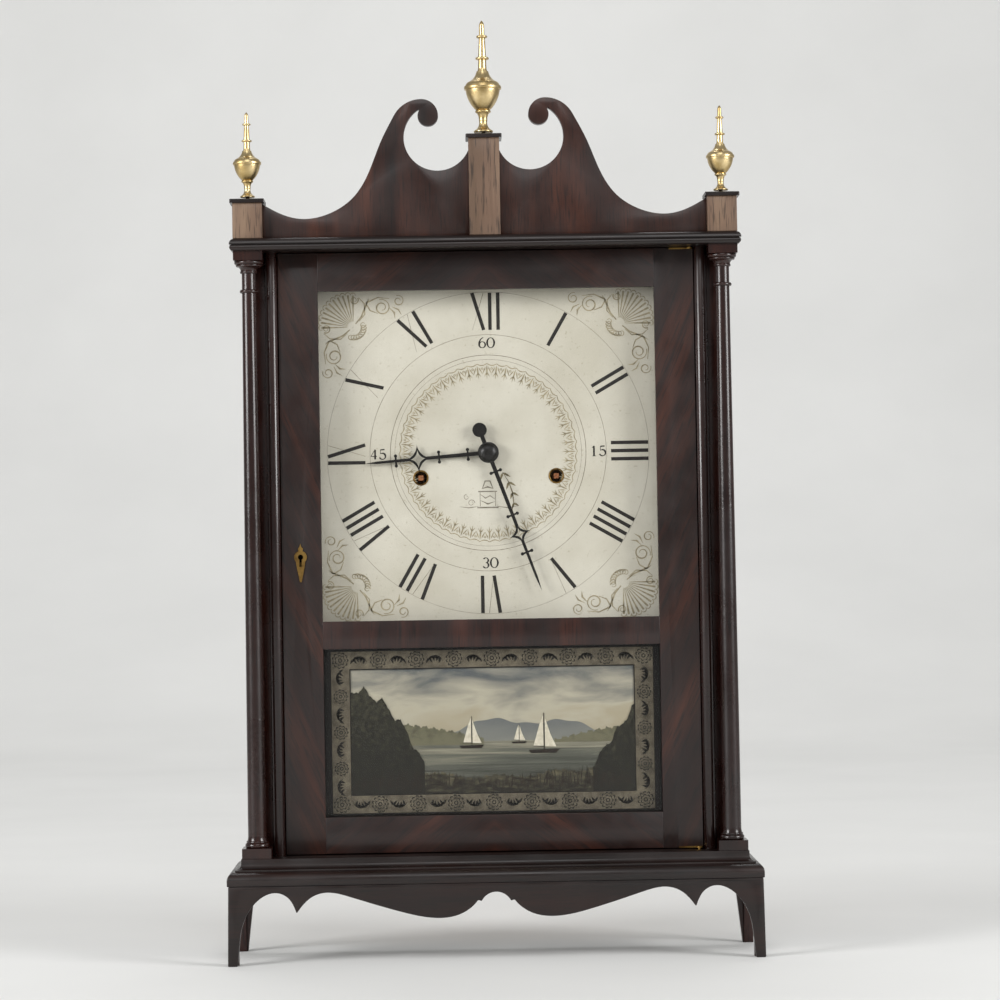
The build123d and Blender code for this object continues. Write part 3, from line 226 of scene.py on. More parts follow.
# %% Metals
def metal(name, bright, dull, rough, ring_spacing=0.0, patch=60.0):
    """A metal with dull patches, and lathe rings where ring_spacing is given."""
    made, tree, shader = finish(name, Metallic=1.0)
    cloud = add(tree, "TexNoise", {"Vector": here(tree), "Scale": patch, "Detail": 5.0, "Roughness": 0.6})
    tint = add(tree, "ValToRGB", {"Fac": cloud.outputs[0]}, stops=[(0.38, dull), (0.6, bright)])
    tree.links.new(tint.outputs[0], shader.inputs["Base Color"])
    gloss = add(tree, "MapRange", {
        "Value": cloud.outputs[0], "From Min": 0.3, "From Max": 0.7,
        "To Min": rough[1], "To Max": rough[0]})
    tree.links.new(gloss.outputs[0], shader.inputs["Roughness"])
    height = cloud.outputs[0]
    if ring_spacing:
        rings = add(tree, "TexWave", {
            "Vector": here(tree), "Scale": 0.314 / ring_spacing / 2, "Distortion": 0.6, "Detail": 1.0},
            wave_type="BANDS", bands_direction="Z")
        height = rings.outputs["Fac"]
    bump = add(tree, "Bump", {"Height": height, "Strength": 0.06, "Distance": 0.1 * MM})
    tree.links.new(bump.outputs[0], shader.inputs["Normal"])
    return made


urn_brass = metal("brass_spun_polished", "dcc697", "b59c69", (0.26, 0.4), ring_spacing=0.6 * MM)
old_brass = metal("brass_old_cast", "a5844a", "5d4526", (0.3, 0.5))
bell_metal = metal("bell_metal_cast", "9a7d4d", "6b5433", (0.35, 0.5))
wire_steel = metal("steel_drawn_wire", "8f8f8c", "5c5a56", (0.28, 0.45))
tinplate = metal("tinplate_dull", "77756e", "4a4842", (0.4, 0.6))
cast_iron = metal("iron_cast_rusty", "3a3531", "2a1c14", (0.55, 0.75), patch=120.0)
print("six metals")

# %% [markdown]
# The hands are thin iron with a coat of black lamp paint, a little rubbed on the raised parts.
# Paint isn't a metal, so it stays at metallic 0 with a soft sheen from its roughness.

# %% Paints
def paint(name, low, high, rough=0.5, grain=300.0, strength=0.1, stops=(0.35, 0.65)):
    """Hand-laid paint that varies between two colours."""
    made, tree, shader = finish(name, Roughness=rough)
    cloud = add(tree, "TexNoise", {"Vector": here(tree), "Scale": grain, "Detail": 6.0, "Roughness": 0.65})
    tint = add(tree, "ValToRGB", {"Fac": cloud.outputs[0]}, stops=[(stops[0], low), (stops[1], high)])
    tree.links.new(tint.outputs[0], shader.inputs["Base Color"])
    bump = add(tree, "Bump", {"Height": cloud.outputs[0], "Strength": strength, "Distance": 0.1 * MM})
    tree.links.new(bump.outputs[0], shader.inputs["Normal"])
    return made


black_paint = paint("lamp_black_paint", "0b0a09", "1c1916", 0.38)
numeral_paint = paint("numeral_black_paint", "14110e", "2a2520", 0.55, 700.0)
faded_ink = paint("ink_faded", "6c6555", "a0988a", 0.6, 160.0)
gilt = paint("gilt_worn_leaf", "8a8067", "b4a98c", 0.42, 260.0, 0.3)
rosette_paint = paint("stencil_bronze", "5d5440", "8b8060", 0.45, 500.0)


def dial_ground():
    """Cream oil paint on the dial board, yellowed in clouds and flecked with age."""
    made, tree, shader = finish("dial_cream_paint", Roughness=0.46)
    cloud = add(tree, "TexNoise", {"Vector": here(tree), "Scale": 9.0, "Detail": 7.0, "Roughness": 0.6})
    base = add(tree, "ValToRGB", {"Fac": cloud.outputs[0]}, stops=[
        (0.36, "c4bfae"), (0.62, "d6d2c3")])
    speck = add(tree, "TexNoise", {"Vector": here(tree), "Scale": 420.0, "Detail": 3.0})
    fleck = add(tree, "ValToRGB", {"Fac": speck.outputs[0]}, stops=[(0.27, "b9ae93"), (0.36, "ffffff")])
    both = add(tree, "Mix", {"Factor": 0.35}, data_type="RGBA", blend_type="MULTIPLY")
    colours = [s for s in both.inputs if s.type == "RGBA"]
    tree.links.new(base.outputs[0], colours[0])
    tree.links.new(fleck.outputs[0], colours[1])
    tree.links.new([s for s in both.outputs if s.type == "RGBA"][0], shader.inputs["Base Color"])
    crackle = add(tree, "TexVoronoi", {"Vector": here(tree), "Scale": 260.0}, feature="DISTANCE_TO_EDGE")
    bump = add(tree, "Bump", {"Height": crackle.outputs[0], "Strength": 0.05, "Distance": 0.1 * MM})
    tree.links.new(bump.outputs[0], shader.inputs["Normal"])
    return made


dial_cream = dial_ground()
print("paints ready")

# %% [markdown]
# Old window glass lies over the dial. It is clear, so nearly all of the light goes straight through
# and only a faint gloss stays. A low alpha does that and lets the light reach the dial without noise.

# %% Glass
window_glass, _, _ = finish(
    "window_glass_old", Base_Color=linear("0d120f"), Roughness=0.03, IOR=1.52, Alpha=0.06)
glass_tree = window_glass.node_tree
waves = add(glass_tree, "TexNoise", {"Vector": here(glass_tree), "Scale": 14.0, "Detail": 1.0})
swell = add(glass_tree, "Bump", {"Height": waves.outputs[0], "Strength": 0.05, "Distance": 1 * MM})
glass_tree.links.new(swell.outputs[0], glass_tree.nodes["Principled BSDF"].inputs["Normal"])

cover("board mahogany", rail_wood, "base_nosing", "base_cove", "skirt_front", "cornice", "plinth_caps")
cover("side mahogany", side_wood, "case_side_left", "case_side_right", "side_skirts")
cover("post mahogany", post_wood, "front_stile_left", "front_stile_right", "column_left", "column_right")
cover("veneer", slant_left, "door_stile_left")
cover("veneer", slant_right, "door_stile_right")
cover("veneer", cross_wood, "door_rail_middle")
cover("veneer", mitred_wood, "door_rail_top", "door_rail_bottom")
cover("scroll veneer", scroll_wood, "scroll_pediment")
cover("pale mahogany", plinth_wood, "plinth_centre", "side_plinths")
cover("pine", pine, "backboard", "dial_rails")
cover("oak", oak, "front_plate", "back_plate")
cover(
    "cherry", cherry, "time_drum", "strike_drum", "time_great_wheel", "strike_great_wheel", "centre_wheel",
    "cannon_pinion", "motion_wheel", "hour_wheel", "pulley_time", "pulley_strike", "plate_pillars")
cover("urn brass", urn_brass, "finial_left", "finial_centre", "finial_right")
cover("old brass", old_brass, "door_pivots", "escutcheon", "lock_case", "pendulum_bob", "escape_wheel")
cover("bell metal", bell_metal, "bell")
cover("iron", cast_iron, "finial_studs", "lock_bolt", "weight_time", "weight_strike")
cover("steel", wire_steel, "pendulum_rod", "verge", "hammer")
cover("tinplate", tinplate, "pulley_covers")
cover("black paint", black_paint, "hour_hand", "minute_hand", "hand_nut")
cover("dial", dial_cream, "dial_board")
cover("glass", window_glass, "dial_glass", "tablet_glass")

# %% [markdown]
# A real board has no knife edges: planing and two centuries of dusting round each corner a little,
# and that thin round is what catches the light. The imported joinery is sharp, and it isn't to be changed.
# So each wooden part is copied, its triangles are merged into flat faces, and its corners get a bevel.

# %% Soften the wooden parts
BODY_OF = {n: body for body, nodes in frame["record"]["behaviour"]["bodies"].items() for n in nodes}
SLOT_OF = {part["node"]: part["material_slot"] for part in frame["record"]["subparts"]}


def only(piece):
    """Select one object alone and make it active."""
    bpy.ops.object.select_all(action="DESELECT")
    piece.select_set(True)
    bpy.context.view_layer.objects.active = piece


def settle(piece, body, slot, *replaced):
    """Attach a finished piece to the body it rides on and hide the parts it stands for; slot is not used.
    """
    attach(piece, body)
    if replaced:
        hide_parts(*replaced)
    return piece


def soften(part_name, round_mm, smooth_degrees=32):
    """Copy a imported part, merge it and round its sharp edges."""
    part = frame["nodes"][part_name]
    piece = bpy.data.objects.new(part_name + "_worn", part.data.copy())
    bpy.context.scene.collection.objects.link(piece)
    only(piece)
    bpy.ops.object.mode_set(mode="EDIT")
    bpy.ops.mesh.select_all(action="SELECT")
    bpy.ops.mesh.customdata_custom_splitnormals_clear()
    bpy.ops.mesh.remove_doubles(threshold=0.002 * MM)
    bpy.ops.mesh.dissolve_limited(angle_limit=radians(0.4))
    bpy.ops.object.mode_set(mode="OBJECT")
    bevel = piece.modifiers.new("rounded_corners", "BEVEL")
    bevel.width = round_mm * MM
    bevel.segments = 2
    bevel.limit_method = "ANGLE"
    bevel.angle_limit = radians(38)
    bpy.ops.object.modifier_apply(modifier=bevel.name)
    bpy.ops.object.shade_smooth_by_angle(angle=radians(smooth_degrees))
    return settle(piece, BODY_OF[part_name], SLOT_OF[part_name], part_name)


CORNERS = {
    0.9: ("base_nosing", "skirt_front"),
    0.7: ("plinth_centre", "side_plinths", "scroll_pediment"),
    0.5: ("base_cove", "side_skirts", "case_side_left", "case_side_right",
          "front_stile_left", "front_stile_right", "door_stile_left", "door_stile_right",
          "door_rail_top", "door_rail_middle", "door_rail_bottom"),
}
for round_mm, names in CORNERS.items():
    for part_name in names:
        piece = soften(part_name, round_mm)
        print(piece.name, len(piece.data.polygons), "faces")

# %% [markdown]
# Paint on a dial is a thin layer with crisp edges, and it lies on the ground coat.
# Each mark is drawn as a flat outline in the plane of the dial and given the thickness of the paint.
# A brush mark is a strip along a line, whose width swells and thins as the brush is pressed.

# %% Brush and outline helpers
PAINT = 0.06


def brush(points, widths):
    """Four-sided pieces along a line of (x, z) points, as wide as widths says at each."""
    rims = []
    for i, (x, z) in enumerate(points):
        ax, az = points[max(i - 1, 0)]
        bx, bz = points[min(i + 1, len(points) - 1)]
        run = max(((bx - ax) ** 2 + (bz - az) ** 2) ** 0.5, 1e-6)
        share = i / (len(points) - 1) * (len(widths) - 1)
        low = min(int(share), len(widths) - 2)
        half = (widths[low] + (widths[low + 1] - widths[low]) * (share - low)) / 2
        nx, nz = -(bz - az) / run * half, (bx - ax) / run * half
        rims.append(((x + nx, z + nz), (x - nx, z - nz)))
    return [(a[0], a[1], b[1], b[0]) for a, b in zip(rims, rims[1:])]


def arc(x, z, radius, start, end, steps=24, grow=0.0):
    """Points round an arc from start to end degrees, whose radius may grow to make a spiral."""
    turns = [start + (end - start) * i / steps for i in range(steps + 1)]
    sizes = [radius * (1 + grow * i / steps) for i in range(steps + 1)]
    return [(x + r * cos(radians(a)), z + r * sin(radians(a))) for a, r in zip(turns, sizes)]


def painted(name, outlines, front, material, body, slot, thickness=PAINT):
    """Flat outlines, in millimetres, made one thin layer whose front face is at y = front."""
    mesh = bpy.data.meshes.new(name)
    flat = bmesh.new()
    for outline in outlines:
        corners = [flat.verts.new((x * MM, front * MM, z * MM)) for x, z in outline]
        flat.faces.new(corners)
    bmesh.ops.recalc_face_normals(flat, faces=flat.faces)
    for face in flat.faces:
        if face.normal.y > 0:
            face.normal_flip()
    flat.to_mesh(mesh)
    flat.free()
    mesh.materials.append(material)
    piece = bpy.data.objects.new(name, mesh)
    bpy.context.scene.collection.objects.link(piece)
    only(piece)
    wall = piece.modifiers.new("paint_thickness", "SOLIDIFY")
    wall.thickness = thickness * MM
    wall.offset = -1
    bpy.ops.object.modifier_apply(modifier=wall.name)
    print(name, len(outlines), "marks")
    return settle(piece, body, slot)


# %% [markdown]
# The hours are Roman numerals with their feet to the centre. The sign painter's thick strokes survive,
# and the thin strokes, laid with a nearly dry brush, have faded to hairlines.
# Each letter is a list of strokes from its top to its foot, and a function turns them to their hour.

# %% Hour numerals and circles
DIAL_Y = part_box("dial_board")[0].y / MM
nut_low, nut_high = (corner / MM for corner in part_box("hand_nut"))
DIAL_Z = (nut_low.z + nut_high.z) / 2
FOOT, HEAD = 104.3, 136.0
LETTER = {"I": (3.2, [(0, 0, "thick")]),
          "V": (9.6, [(-4.6, 0.2, "thick"), (4.6, 0.8, "thin")]),
          "X": (9.8, [(-4.8, 4.8, "thick"), (4.8, -4.8, "thin")])}
LETTER_GAP = 3.7
HOURS = ["XII", "I", "II", "III", "IIII", "V", "VI", "VII", "VIII", "IX", "X", "XI"]


def on_dial(angle, across, out):
    """A point beside the radius at this clock angle, as (x, z)."""
    a = radians(angle)
    return (out * sin(a) + across * cos(a), DIAL_Z + out * cos(a) - across * sin(a))


thick, thin = [], []
for hour, word in enumerate(HOURS):
    left = -(sum(LETTER[c][0] for c in word) + LETTER_GAP * (len(word) - 1)) / 2
    for c in word:
        width, strokes = LETTER[c]
        for top, foot, kind in strokes:
            ends = [on_dial(hour * 30, left + width / 2 + top, HEAD),
                    on_dial(hour * 30, left + width / 2 + foot, FOOT)]
            if kind == "thick":
                thick += brush(ends, [3.1, 2.9])
            else:
                thin += brush(ends, [0.5, 0.3])
        left += width + LETTER_GAP
for radius, width in ((136.6, 0.3), (100.3, 0.4), (83.0, 0.5), (79.2, 0.25)):
    thin += brush(arc(0, DIAL_Z, radius, 0, 360, 180), [width, width])

DIGIT = {
    "0": [(arc(0, 0, 3.0, 90, 450, 24), [0.5, 1.7, 0.5, 1.7, 0.5])],
    "1": [([(0, 4.2), (0, -4.2)], [1.5, 1.5]), ([(-1.6, 2.8), (0, 4.2)], [0.4, 0.8]),
          ([(-1.5, -4.2), (1.5, -4.2)], [0.5, 0.5])],
    "3": [(arc(0, 2.1, 2.1, 150, -90, 14), [1.2, 0.6, 1.6, 0.6]),
          (arc(0, -2.1, 2.3, 90, -160, 14), [0.6, 1.7, 0.6, 1.3])],
    "4": [([(1.0, 4.2), (-2.6, -1.6)], [0.5, 0.5]), ([(-2.6, -1.6), (2.6, -1.6)], [0.6, 0.6]),
          ([(1.0, 4.2), (1.0, -4.2)], [1.5, 1.5])],
    "5": [([(-1.6, 3.9), (1.9, 4.1)], [1.1, 1.1]), ([(-1.6, 4.1), (-1.8, 0.6)], [0.5, 0.5]),
          (arc(0, -1.6, 2.6, 132, -160, 16), [0.5, 1.7, 0.7, 1.3])],
    "6": [(arc(0, -1.6, 2.6, 90, 450, 20), [0.5, 1.6, 0.5, 1.5, 0.5]),
          (arc(3.2, -0.8, 5.8, 180, 112, 10), [1.4, 0.6])]}
TALL = {"0": 1.42}
numbers = []
for text, x, z in (("60", 0, 93.4), ("15", 93.4, 0), ("30", 0, -93.4), ("45", -93.4, 0)):
    for place, digit in zip((-3.6, 3.6), text):
        for points, widths in DIGIT[digit]:
            moved = [(x + place + px, DIAL_Z + z + pz * TALL.get(digit, 1.0)) for px, pz in points]
            numbers += brush(moved, widths)
painted("dial_hour_strokes", thick, DIAL_Y - PAINT, numeral_paint, "case", "dial_paint")
painted("dial_fine_lines", thin, DIAL_Y - PAINT, faded_ink, "case", "dial_paint")
painted("dial_minute_numbers", numbers, DIAL_Y - PAINT, numeral_paint, "case", "dial_paint")

# %% [markdown]
# Inside the hours runs a ring of gilt lace: small leaves that hang from a scalloped line.
# Gold size was stencilled raised on the board and leafed, so it is a little thicker than the paint.
# One leaf group is drawn by its radius and turned round the ring by a loop.

# %% Gilt ring, centre figure and corner fans
GILT = 0.16
RING_OUT, RING_LEAVES = 75.8, 56


def leaf(x, z, angle, length, width):
    """One pointed leaf from (x, z) along an angle in degrees."""
    a = radians(angle)
    points = [(x + length * s * cos(a), z + length * s * sin(a)) for s in (0, 0.3, 0.65, 1)]
    return brush(points, [0.15, width, width * 0.7, 0.1])


ring = []
for i in range(RING_LEAVES):
    turn = 360 / RING_LEAVES
    angle = i * turn
    for across, out, swing, length, width in (
            (0, RING_OUT - 1.5, 0, 11.5, 1.3), (-1.2, RING_OUT - 3, -24, 6.2, 1.0),
            (1.2, RING_OUT - 3, 24, 6.2, 1.0), (0, RING_OUT - 7.5, -32, 4.4, 0.8),
            (0, RING_OUT - 7.5, 32, 4.4, 0.8)):
        x, z = on_dial(angle, across, out)
        ring += leaf(x, z, -90 - angle + swing, length, width)
    bow = [on_dial(angle + turn * s, 0, RING_OUT - 1.6 * sin(pi * s)) for s in (0, 0.2, 0.4, 0.6, 0.8, 1)]
    ring += brush(bow, [0.5, 0.9, 0.5])
    x, z = on_dial(angle + turn / 2, 0, RING_OUT - 4.2)
    ring += brush(arc(x, z, 0.8, 0, 360, 8), [0.5, 0.5])
painted("dial_gilt_ring", ring, DIAL_Y - GILT, gilt, "case", "dial_paint", GILT)

half_open = (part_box("door_stile_right")[0].x / MM)
open_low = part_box("door_rail_middle")[1].z / MM
open_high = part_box("door_rail_top")[0].z / MM


def corner_fan(side, rise):
    """Gilt fan that opens to a corner of the dial, with scrolls along both edges."""
    strokes = []
    ribs = 11
    for i in range(ribs):
        angle = 180 + 90 * i / (ribs - 1)
        reach = 27.0 + 2.0 * sin(pi * i / (ribs - 1))
        a = radians(angle)
        start, end = (29 + 5 * cos(a), 29 + 5 * sin(a)), (29 + reach * cos(a), 29 + reach * sin(a))
        strokes.append(([start, ((start[0] + end[0]) / 2, (start[1] + end[1]) / 2), end], [0.3, 1.0, 1.7]))
        strokes.append((arc(end[0], end[1], 2.2, angle - 100, angle + 100, 8), [0.3, 0.8, 0.3]))
    for i in range(9):
        a = radians(180 + 90 * (i - 1) / 6)
        curl_x, curl_z = 29 - 9.5 * cos(a) * 0.9, 29 - 9.5 * sin(a) * 0.9
        strokes.append((arc(curl_x, curl_z, 2.6, 0, 330, 10, -0.4), [0.9, 0.4]))
    for a, b in ((0, 1), (1, 0)):
        for points, widths in (
                (arc(12.5, 53.5, 2.2, 0, 560, 40, 2.2), [0.4, 1.3, 0.6]),
                (arc(7.0, 67.5, 1.6, 90, 560, 30, 2.0), [0.4, 1.1, 0.5]),
                ([(17.5, 50.0), (15.0, 43.5), (9.0, 40.0), (5.0, 43.0)], [0.5, 1.4, 0.4]),
                ([(5.0, 60.0), (4.0, 50.0), (8.0, 41.0), (20.0, 36.0), (26.0, 31.0)], [0.4, 1.5, 0.9]),
                ([(4.0, 34.0), (9.0, 38.5), (18.0, 39.0), (24.0, 34.0)], [0.4, 1.2, 0.4]),
                (arc(6.0, 30.0, 1.4, 0, 480, 24, 1.6), [0.4, 1.0]),
                ([(13.0, 60.0), (17.0, 64.0), (22.0, 64.5)], [0.3, 1.6, 0.2]),
                ([(12.0, 62.0), (14.5, 67.5), (19.0, 70.0)], [0.3, 1.4, 0.2])):
            strokes.append(([(p[a], p[b]) for p in points], widths))
    edge_z = open_high if rise > 0 else open_low
    marks = []
    for points, widths in strokes:
        moved = [(side * (half_open - p[0]), edge_z - rise * p[1]) for p in points]
        marks += brush(moved, widths)
    return marks


fans = sum((corner_fan(side, rise) for side in (-1, 1) for rise in (-1, 1)), [])
painted("dial_corner_fans", fans, DIAL_Y - GILT, gilt, "case", "dial_paint", GILT)

figure = []
FIGURE_X, FIGURE_Z = -1.0, DIAL_Z - 37.5
for points, widths in (
        ([(-9, -9), (9, -9)], [1.2, 1.2]),
        ([(-6.5, -8), (-6.5, 4)], [0.5, 0.5]),
        ([(6.5, -8), (6.5, 4)], [0.5, 0.5]),
        ([(-8, 4.6), (8, 4.6)], [1.0, 1.0]),
        ([(-5, 7), (0, 8.5), (5, 7)], [0.4, 1.5, 0.4]),
        ([(-4.6, 7), (-2, 13.5), (2, 13.5), (4.6, 7)], [0.5, 1.6, 0.5]),
        ([(-6, 2), (-2, -1), (2, 1), (6, -2)], [0.4, 1.4, 0.4]),
        ([(-6, -3), (0, -6), (6, -4)], [0.3, 1.2, 0.3]),
        (arc(-14, -5, 3.0, 0, 420, 20, -0.6), [0.6, 0.3]),
        (arc(-18, 0, 2.4, 90, 480, 20, -0.6), [0.6, 0.3]),
        ([(-24, -8), (-16, -9), (-8, -8)], [0.2, 0.9, 0.3]),
        ([(8, -8), (17, -9.5), (26, -8)], [0.3, 0.9, 0.2])):
    figure += brush([(FIGURE_X + px, FIGURE_Z + pz) for px, pz in points], widths)
painted("dial_urn_figure", figure, DIAL_Y - PAINT, faded_ink, "case", "dial_paint")

sprig = []
stem = [(12, -17), (17, -25), (20, -34), (21, -43), (19.5, -49)]
sprig += brush([(x, DIAL_Z + z) for x, z in stem], [0.3, 1.0, 0.5])
for i, (x, z) in enumerate(stem[:-1]):
    for swing in (-40, 38):
        sprig += leaf(x, DIAL_Z + z, -68 + swing, 8.0 - i, 2.0)
painted("dial_painted_sprig", sprig, DIAL_Y - PAINT, rosette_paint, "case", "dial_paint")

# %% [markdown]
# Two thin brass rings line the winding holes, so that the key doesn't chip the paint.
# A torus is a good start for a rolled ring. It is flattened, because the real one is pressed sheet.

# %% Winding hole rings
for side, name in ((-1, "left"), (1, "right")):
    drum_low, drum_high = (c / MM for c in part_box("time_drum" if side > 0 else "strike_drum"))
    hole_x, hole_z = (drum_low.x + drum_high.x) / 2, (drum_low.z + drum_high.z) / 2
    bpy.ops.mesh.primitive_torus_add(
        location=(hole_x * MM, (DIAL_Y - 0.35) * MM, hole_z * MM), rotation=(pi / 2, 0, 0),
        major_radius=6.0 * MM, minor_radius=0.6 * MM, major_segments=64, minor_segments=16)
    grommet = bpy.context.object
    grommet.name = "winding_ring_" + name
    grommet.scale = (1, 1, 0.5)
    bpy.ops.object.transform_apply(location=True, rotation=True, scale=True)
    bpy.ops.object.shade_smooth()
    grommet.data.materials.append(old_brass)
    settle(grommet, "case", "brass")
print("winding rings at", round(hole_x, 1), round(hole_z, 1))

# %% [markdown]
# The lower pane is painted from behind, the front layers first: border, banks, boats, hills, water, sky.
# The picture is a plain lake view of our own: a crag and a low shore, boats and rushes.
# Every layer is a thin sheet behind the glass, each a hair further back than the one before.

# %% Tablet picture
tablet_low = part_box("door_rail_bottom")[1].z / MM
tablet_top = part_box("door_rail_middle")[0].z / MM
mid_z = (tablet_low + tablet_top) / 2
PANE_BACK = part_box("tablet_glass")[1].y / MM
LAYER = 0.1
PICTURE_X, PICTURE_Z = 120.3, 53.4


def gradient(name, low_z, high_z, stops, cloud=0.0, cloud_scale=(14, 1, 46), rough=0.4):
    """Paint whose colour changes with height, broken by brushed clouds."""
    made, tree, shader = finish(name, Roughness=rough)
    height = add(tree, "SeparateXYZ", {"Vector": add(tree, "TexCoord").outputs["Object"]})
    share = add(tree, "MapRange", {
        "Value": height.outputs["Z"], "From Min": low_z * MM, "From Max": high_z * MM})
    cloudy = add(tree, "TexNoise", {
        "Vector": here(tree, cloud_scale), "Scale": 1.0, "Detail": 7.0,
        "Roughness": 0.55, "Distortion": 0.4})
    push = add(tree, "MapRange", {
        "Value": cloudy.outputs[0], "From Min": 0.35, "From Max": 0.68, "To Min": -cloud, "To Max": cloud})
    both = add(tree, "Math", operation="ADD")
    tree.links.new(share.outputs[0], both.inputs[0])
    tree.links.new(push.outputs[0], both.inputs[1])
    tint = add(tree, "ValToRGB", {"Fac": both.outputs[0]}, stops=stops)
    tree.links.new(tint.outputs[0], shader.inputs["Base Color"])
    return made


def rect(x0, x1, z0, z1):
    return [(x0, z0), (x1, z0), (x1, z1), (x0, z1)]


def skyline(x0, x1, low, height, step=0.9):
    """A filled strip from low up to height(x), made of narrow four-sided pieces."""
    count = max(int((x1 - x0) / step), 2)
    xs = [x0 + (x1 - x0) * i / count for i in range(count + 1)]
    return [[(a, mid_z + low), (b, mid_z + low), (b, mid_z + height(b)), (a, mid_z + height(a))]
            for a, b in zip(xs, xs[1:])]


sky_paint = gradient("tablet_sky", mid_z - 12, mid_z + 60, [
    (0.0, "a79e86"), (1.0, "585c5d"), (0.35, "b3ad99")], 0.35)
lake_paint = gradient("tablet_water", mid_z - 54, mid_z - 6, [
    (0.0, "2d2f28"), (1.0, "8f8b78"), (0.6, "5b5c52")], 0.3, (9, 1, 260))
far_paint = gradient("tablet_far_hills", mid_z - 8, mid_z + 16, [(0.0, "7f8078"), (1.0, "606364")], 0.2)
near_paint = gradient("tablet_near_hills", mid_z - 8, mid_z + 26, [
    (0.0, "6d6a54"), (1.0, "3d3d33")], 0.4, (160, 1, 220))
crag_paint = gradient("tablet_crag", mid_z - 54, mid_z + 48, [
    (0.0, "1d1b14"), (1.0, "3b392c"), (0.5, "26251c")], 0.6, (240, 1, 300))
bank_paint = gradient("tablet_bank", mid_z - 54, mid_z - 22, [
    (0.0, "24211a"), (1.0, "6e6850"), (0.5, "4a4636")], 0.4, (90, 1, 320))
sail_paint = paint("tablet_sail_white", "c4bca5", "e0dac6", 0.4)
hull_paint = paint("tablet_hull_dark", "1c1813", "33291f", 0.4)
band_paint = paint("stencil_border_ground", "4c463a", "6f6756", 0.38, 120.0, 0.05)
# Black for the tablet's edge bands: partly black edge paint, partly painted shade that stands in for the
# shadow of the door's rebate.
margin_and_shade_paint = paint("tablet_black_margin_and_painted_shade", "0d0b09", "16120f", 0.35)

half_sheet = half_open + 3


def wave(x, *parts):
    """A sum of sines: each part is height, length in millimetres and phase."""
    return sum(h * sin(2 * pi * x / length + phase) for h, length, phase in parts)


def behind(layer):
    return PANE_BACK + 0.02 + LAYER * layer


def tablet_layer(name, outlines, layer, material):
    return painted(name, outlines, behind(layer), material, "door", "tablet_glass")


rough_edge = ((0.9, 7.3, 0.4), (0.6, 3.1, 1.9), (0.35, 1.7, 0.2))


def far_hill_height(x):
    return 3 + wave(x, (5.5, 190, 0.8), (3.2, 71, 2.1), (0.8, 23, 0))


def left_hill_height(x):
    return 15 * cos(pi * (x + 122) / 230) - 6 + wave(x, *rough_edge)


def right_hill_height(x):
    return 11 * sin(pi * (x - 52) / 140) - 9 + wave(x, *rough_edge)


def bank_height(x):
    return -33 - 6 * cos(pi * x / 160) + wave(x, (1.6, 47, 1), *rough_edge)


def left_crag_height(x):
    return 36 - ((x + 122) / 64) ** 2.2 * 66 + wave(x, (3.2, 16, 0), *rough_edge)


def right_crag_height(x):
    return -30 + (x - 84) * 1.35 + wave(x, (2.4, 13, 1), *rough_edge)


sheet_low, sheet_high = tablet_low - 2, tablet_top + 2
tablet_layer("tablet_sky_layer", [rect(-half_sheet, half_sheet, sheet_low, sheet_high)], 9, sky_paint)
tablet_layer("tablet_water_layer", [rect(-half_sheet, half_sheet, sheet_low, mid_z - 8)], 8, lake_paint)
tablet_layer("tablet_far_hills", skyline(-122, 122, -9, far_hill_height), 7, far_paint)
near_hills = skyline(-122, -8, -12, left_hill_height) + skyline(52, 122, -11, right_hill_height)
tablet_layer("tablet_near_hills", near_hills, 6, near_paint)
boats, sails = [], []
for x, z, size in ((-18, -15, 1.0), (22, -11.5, 0.62), (43, -20, 1.25)):
    boats.append([(x - 9 * size, mid_z + z), (x + 8 * size, mid_z + z),
                  (x + 10.5 * size, mid_z + z + 2.8 * size), (x - 10.5 * size, mid_z + z + 2.2 * size)])
    boats += [[(x + px * size, mid_z + z + pz * size) for px, pz in mast] for mast in (
        ((-0.25, 2), (0.25, 2), (0.25, 27), (-0.25, 27)), ((-7, 4.6), (0, 4.2), (0, 4.6), (-7, 5.0)))]
    sails += [[(x + px * size, mid_z + z + pz * size) for px, pz in cloth] for cloth in (
        ((-7.2, 5), (-0.5, 4.8), (-0.5, 25.5), (-2.8, 20)), ((0.6, 4.5), (8.2, 4.2), (4.2, 13), (0.6, 24)))]
tablet_layer("tablet_boats", boats, 4, hull_paint)
tablet_layer("tablet_sails", sails, 5, sail_paint)
tablet_layer("tablet_bank", skyline(-122, 122, -56, bank_height), 3, bank_paint)
crags = skyline(-122, -58, -56, left_crag_height) + skyline(84, 122, -56, right_crag_height)
tablet_layer("tablet_crag", crags, 2, crag_paint)
rushes = []
for i in range(120):
    x = -118 + 236 * ((i * 0.618034) % 1)
    tall = 7 + 9 * abs(sin(i * 2.4)) * (0.4 + abs(x) / 120)
    lean = 2.2 * sin(i * 1.7)
    low = mid_z - 52 + 6 * abs(sin(i * 3.1))
    rushes += brush([(x, low), (x + lean * 0.3, low + tall * 0.6), (x + lean, low + tall)], [0.9, 0.7, 0.1])
tablet_layer("tablet_rushes", rushes, 1, hull_paint)

# %% [markdown]
# A stencilled border frames the picture, as it does on most such tablets: rosettes joined by leaf sprays.
# The ground is bronze powder over black size, and the flowers are left dark in it.
# One rosette and one spray are drawn once and placed along each side by a loop.

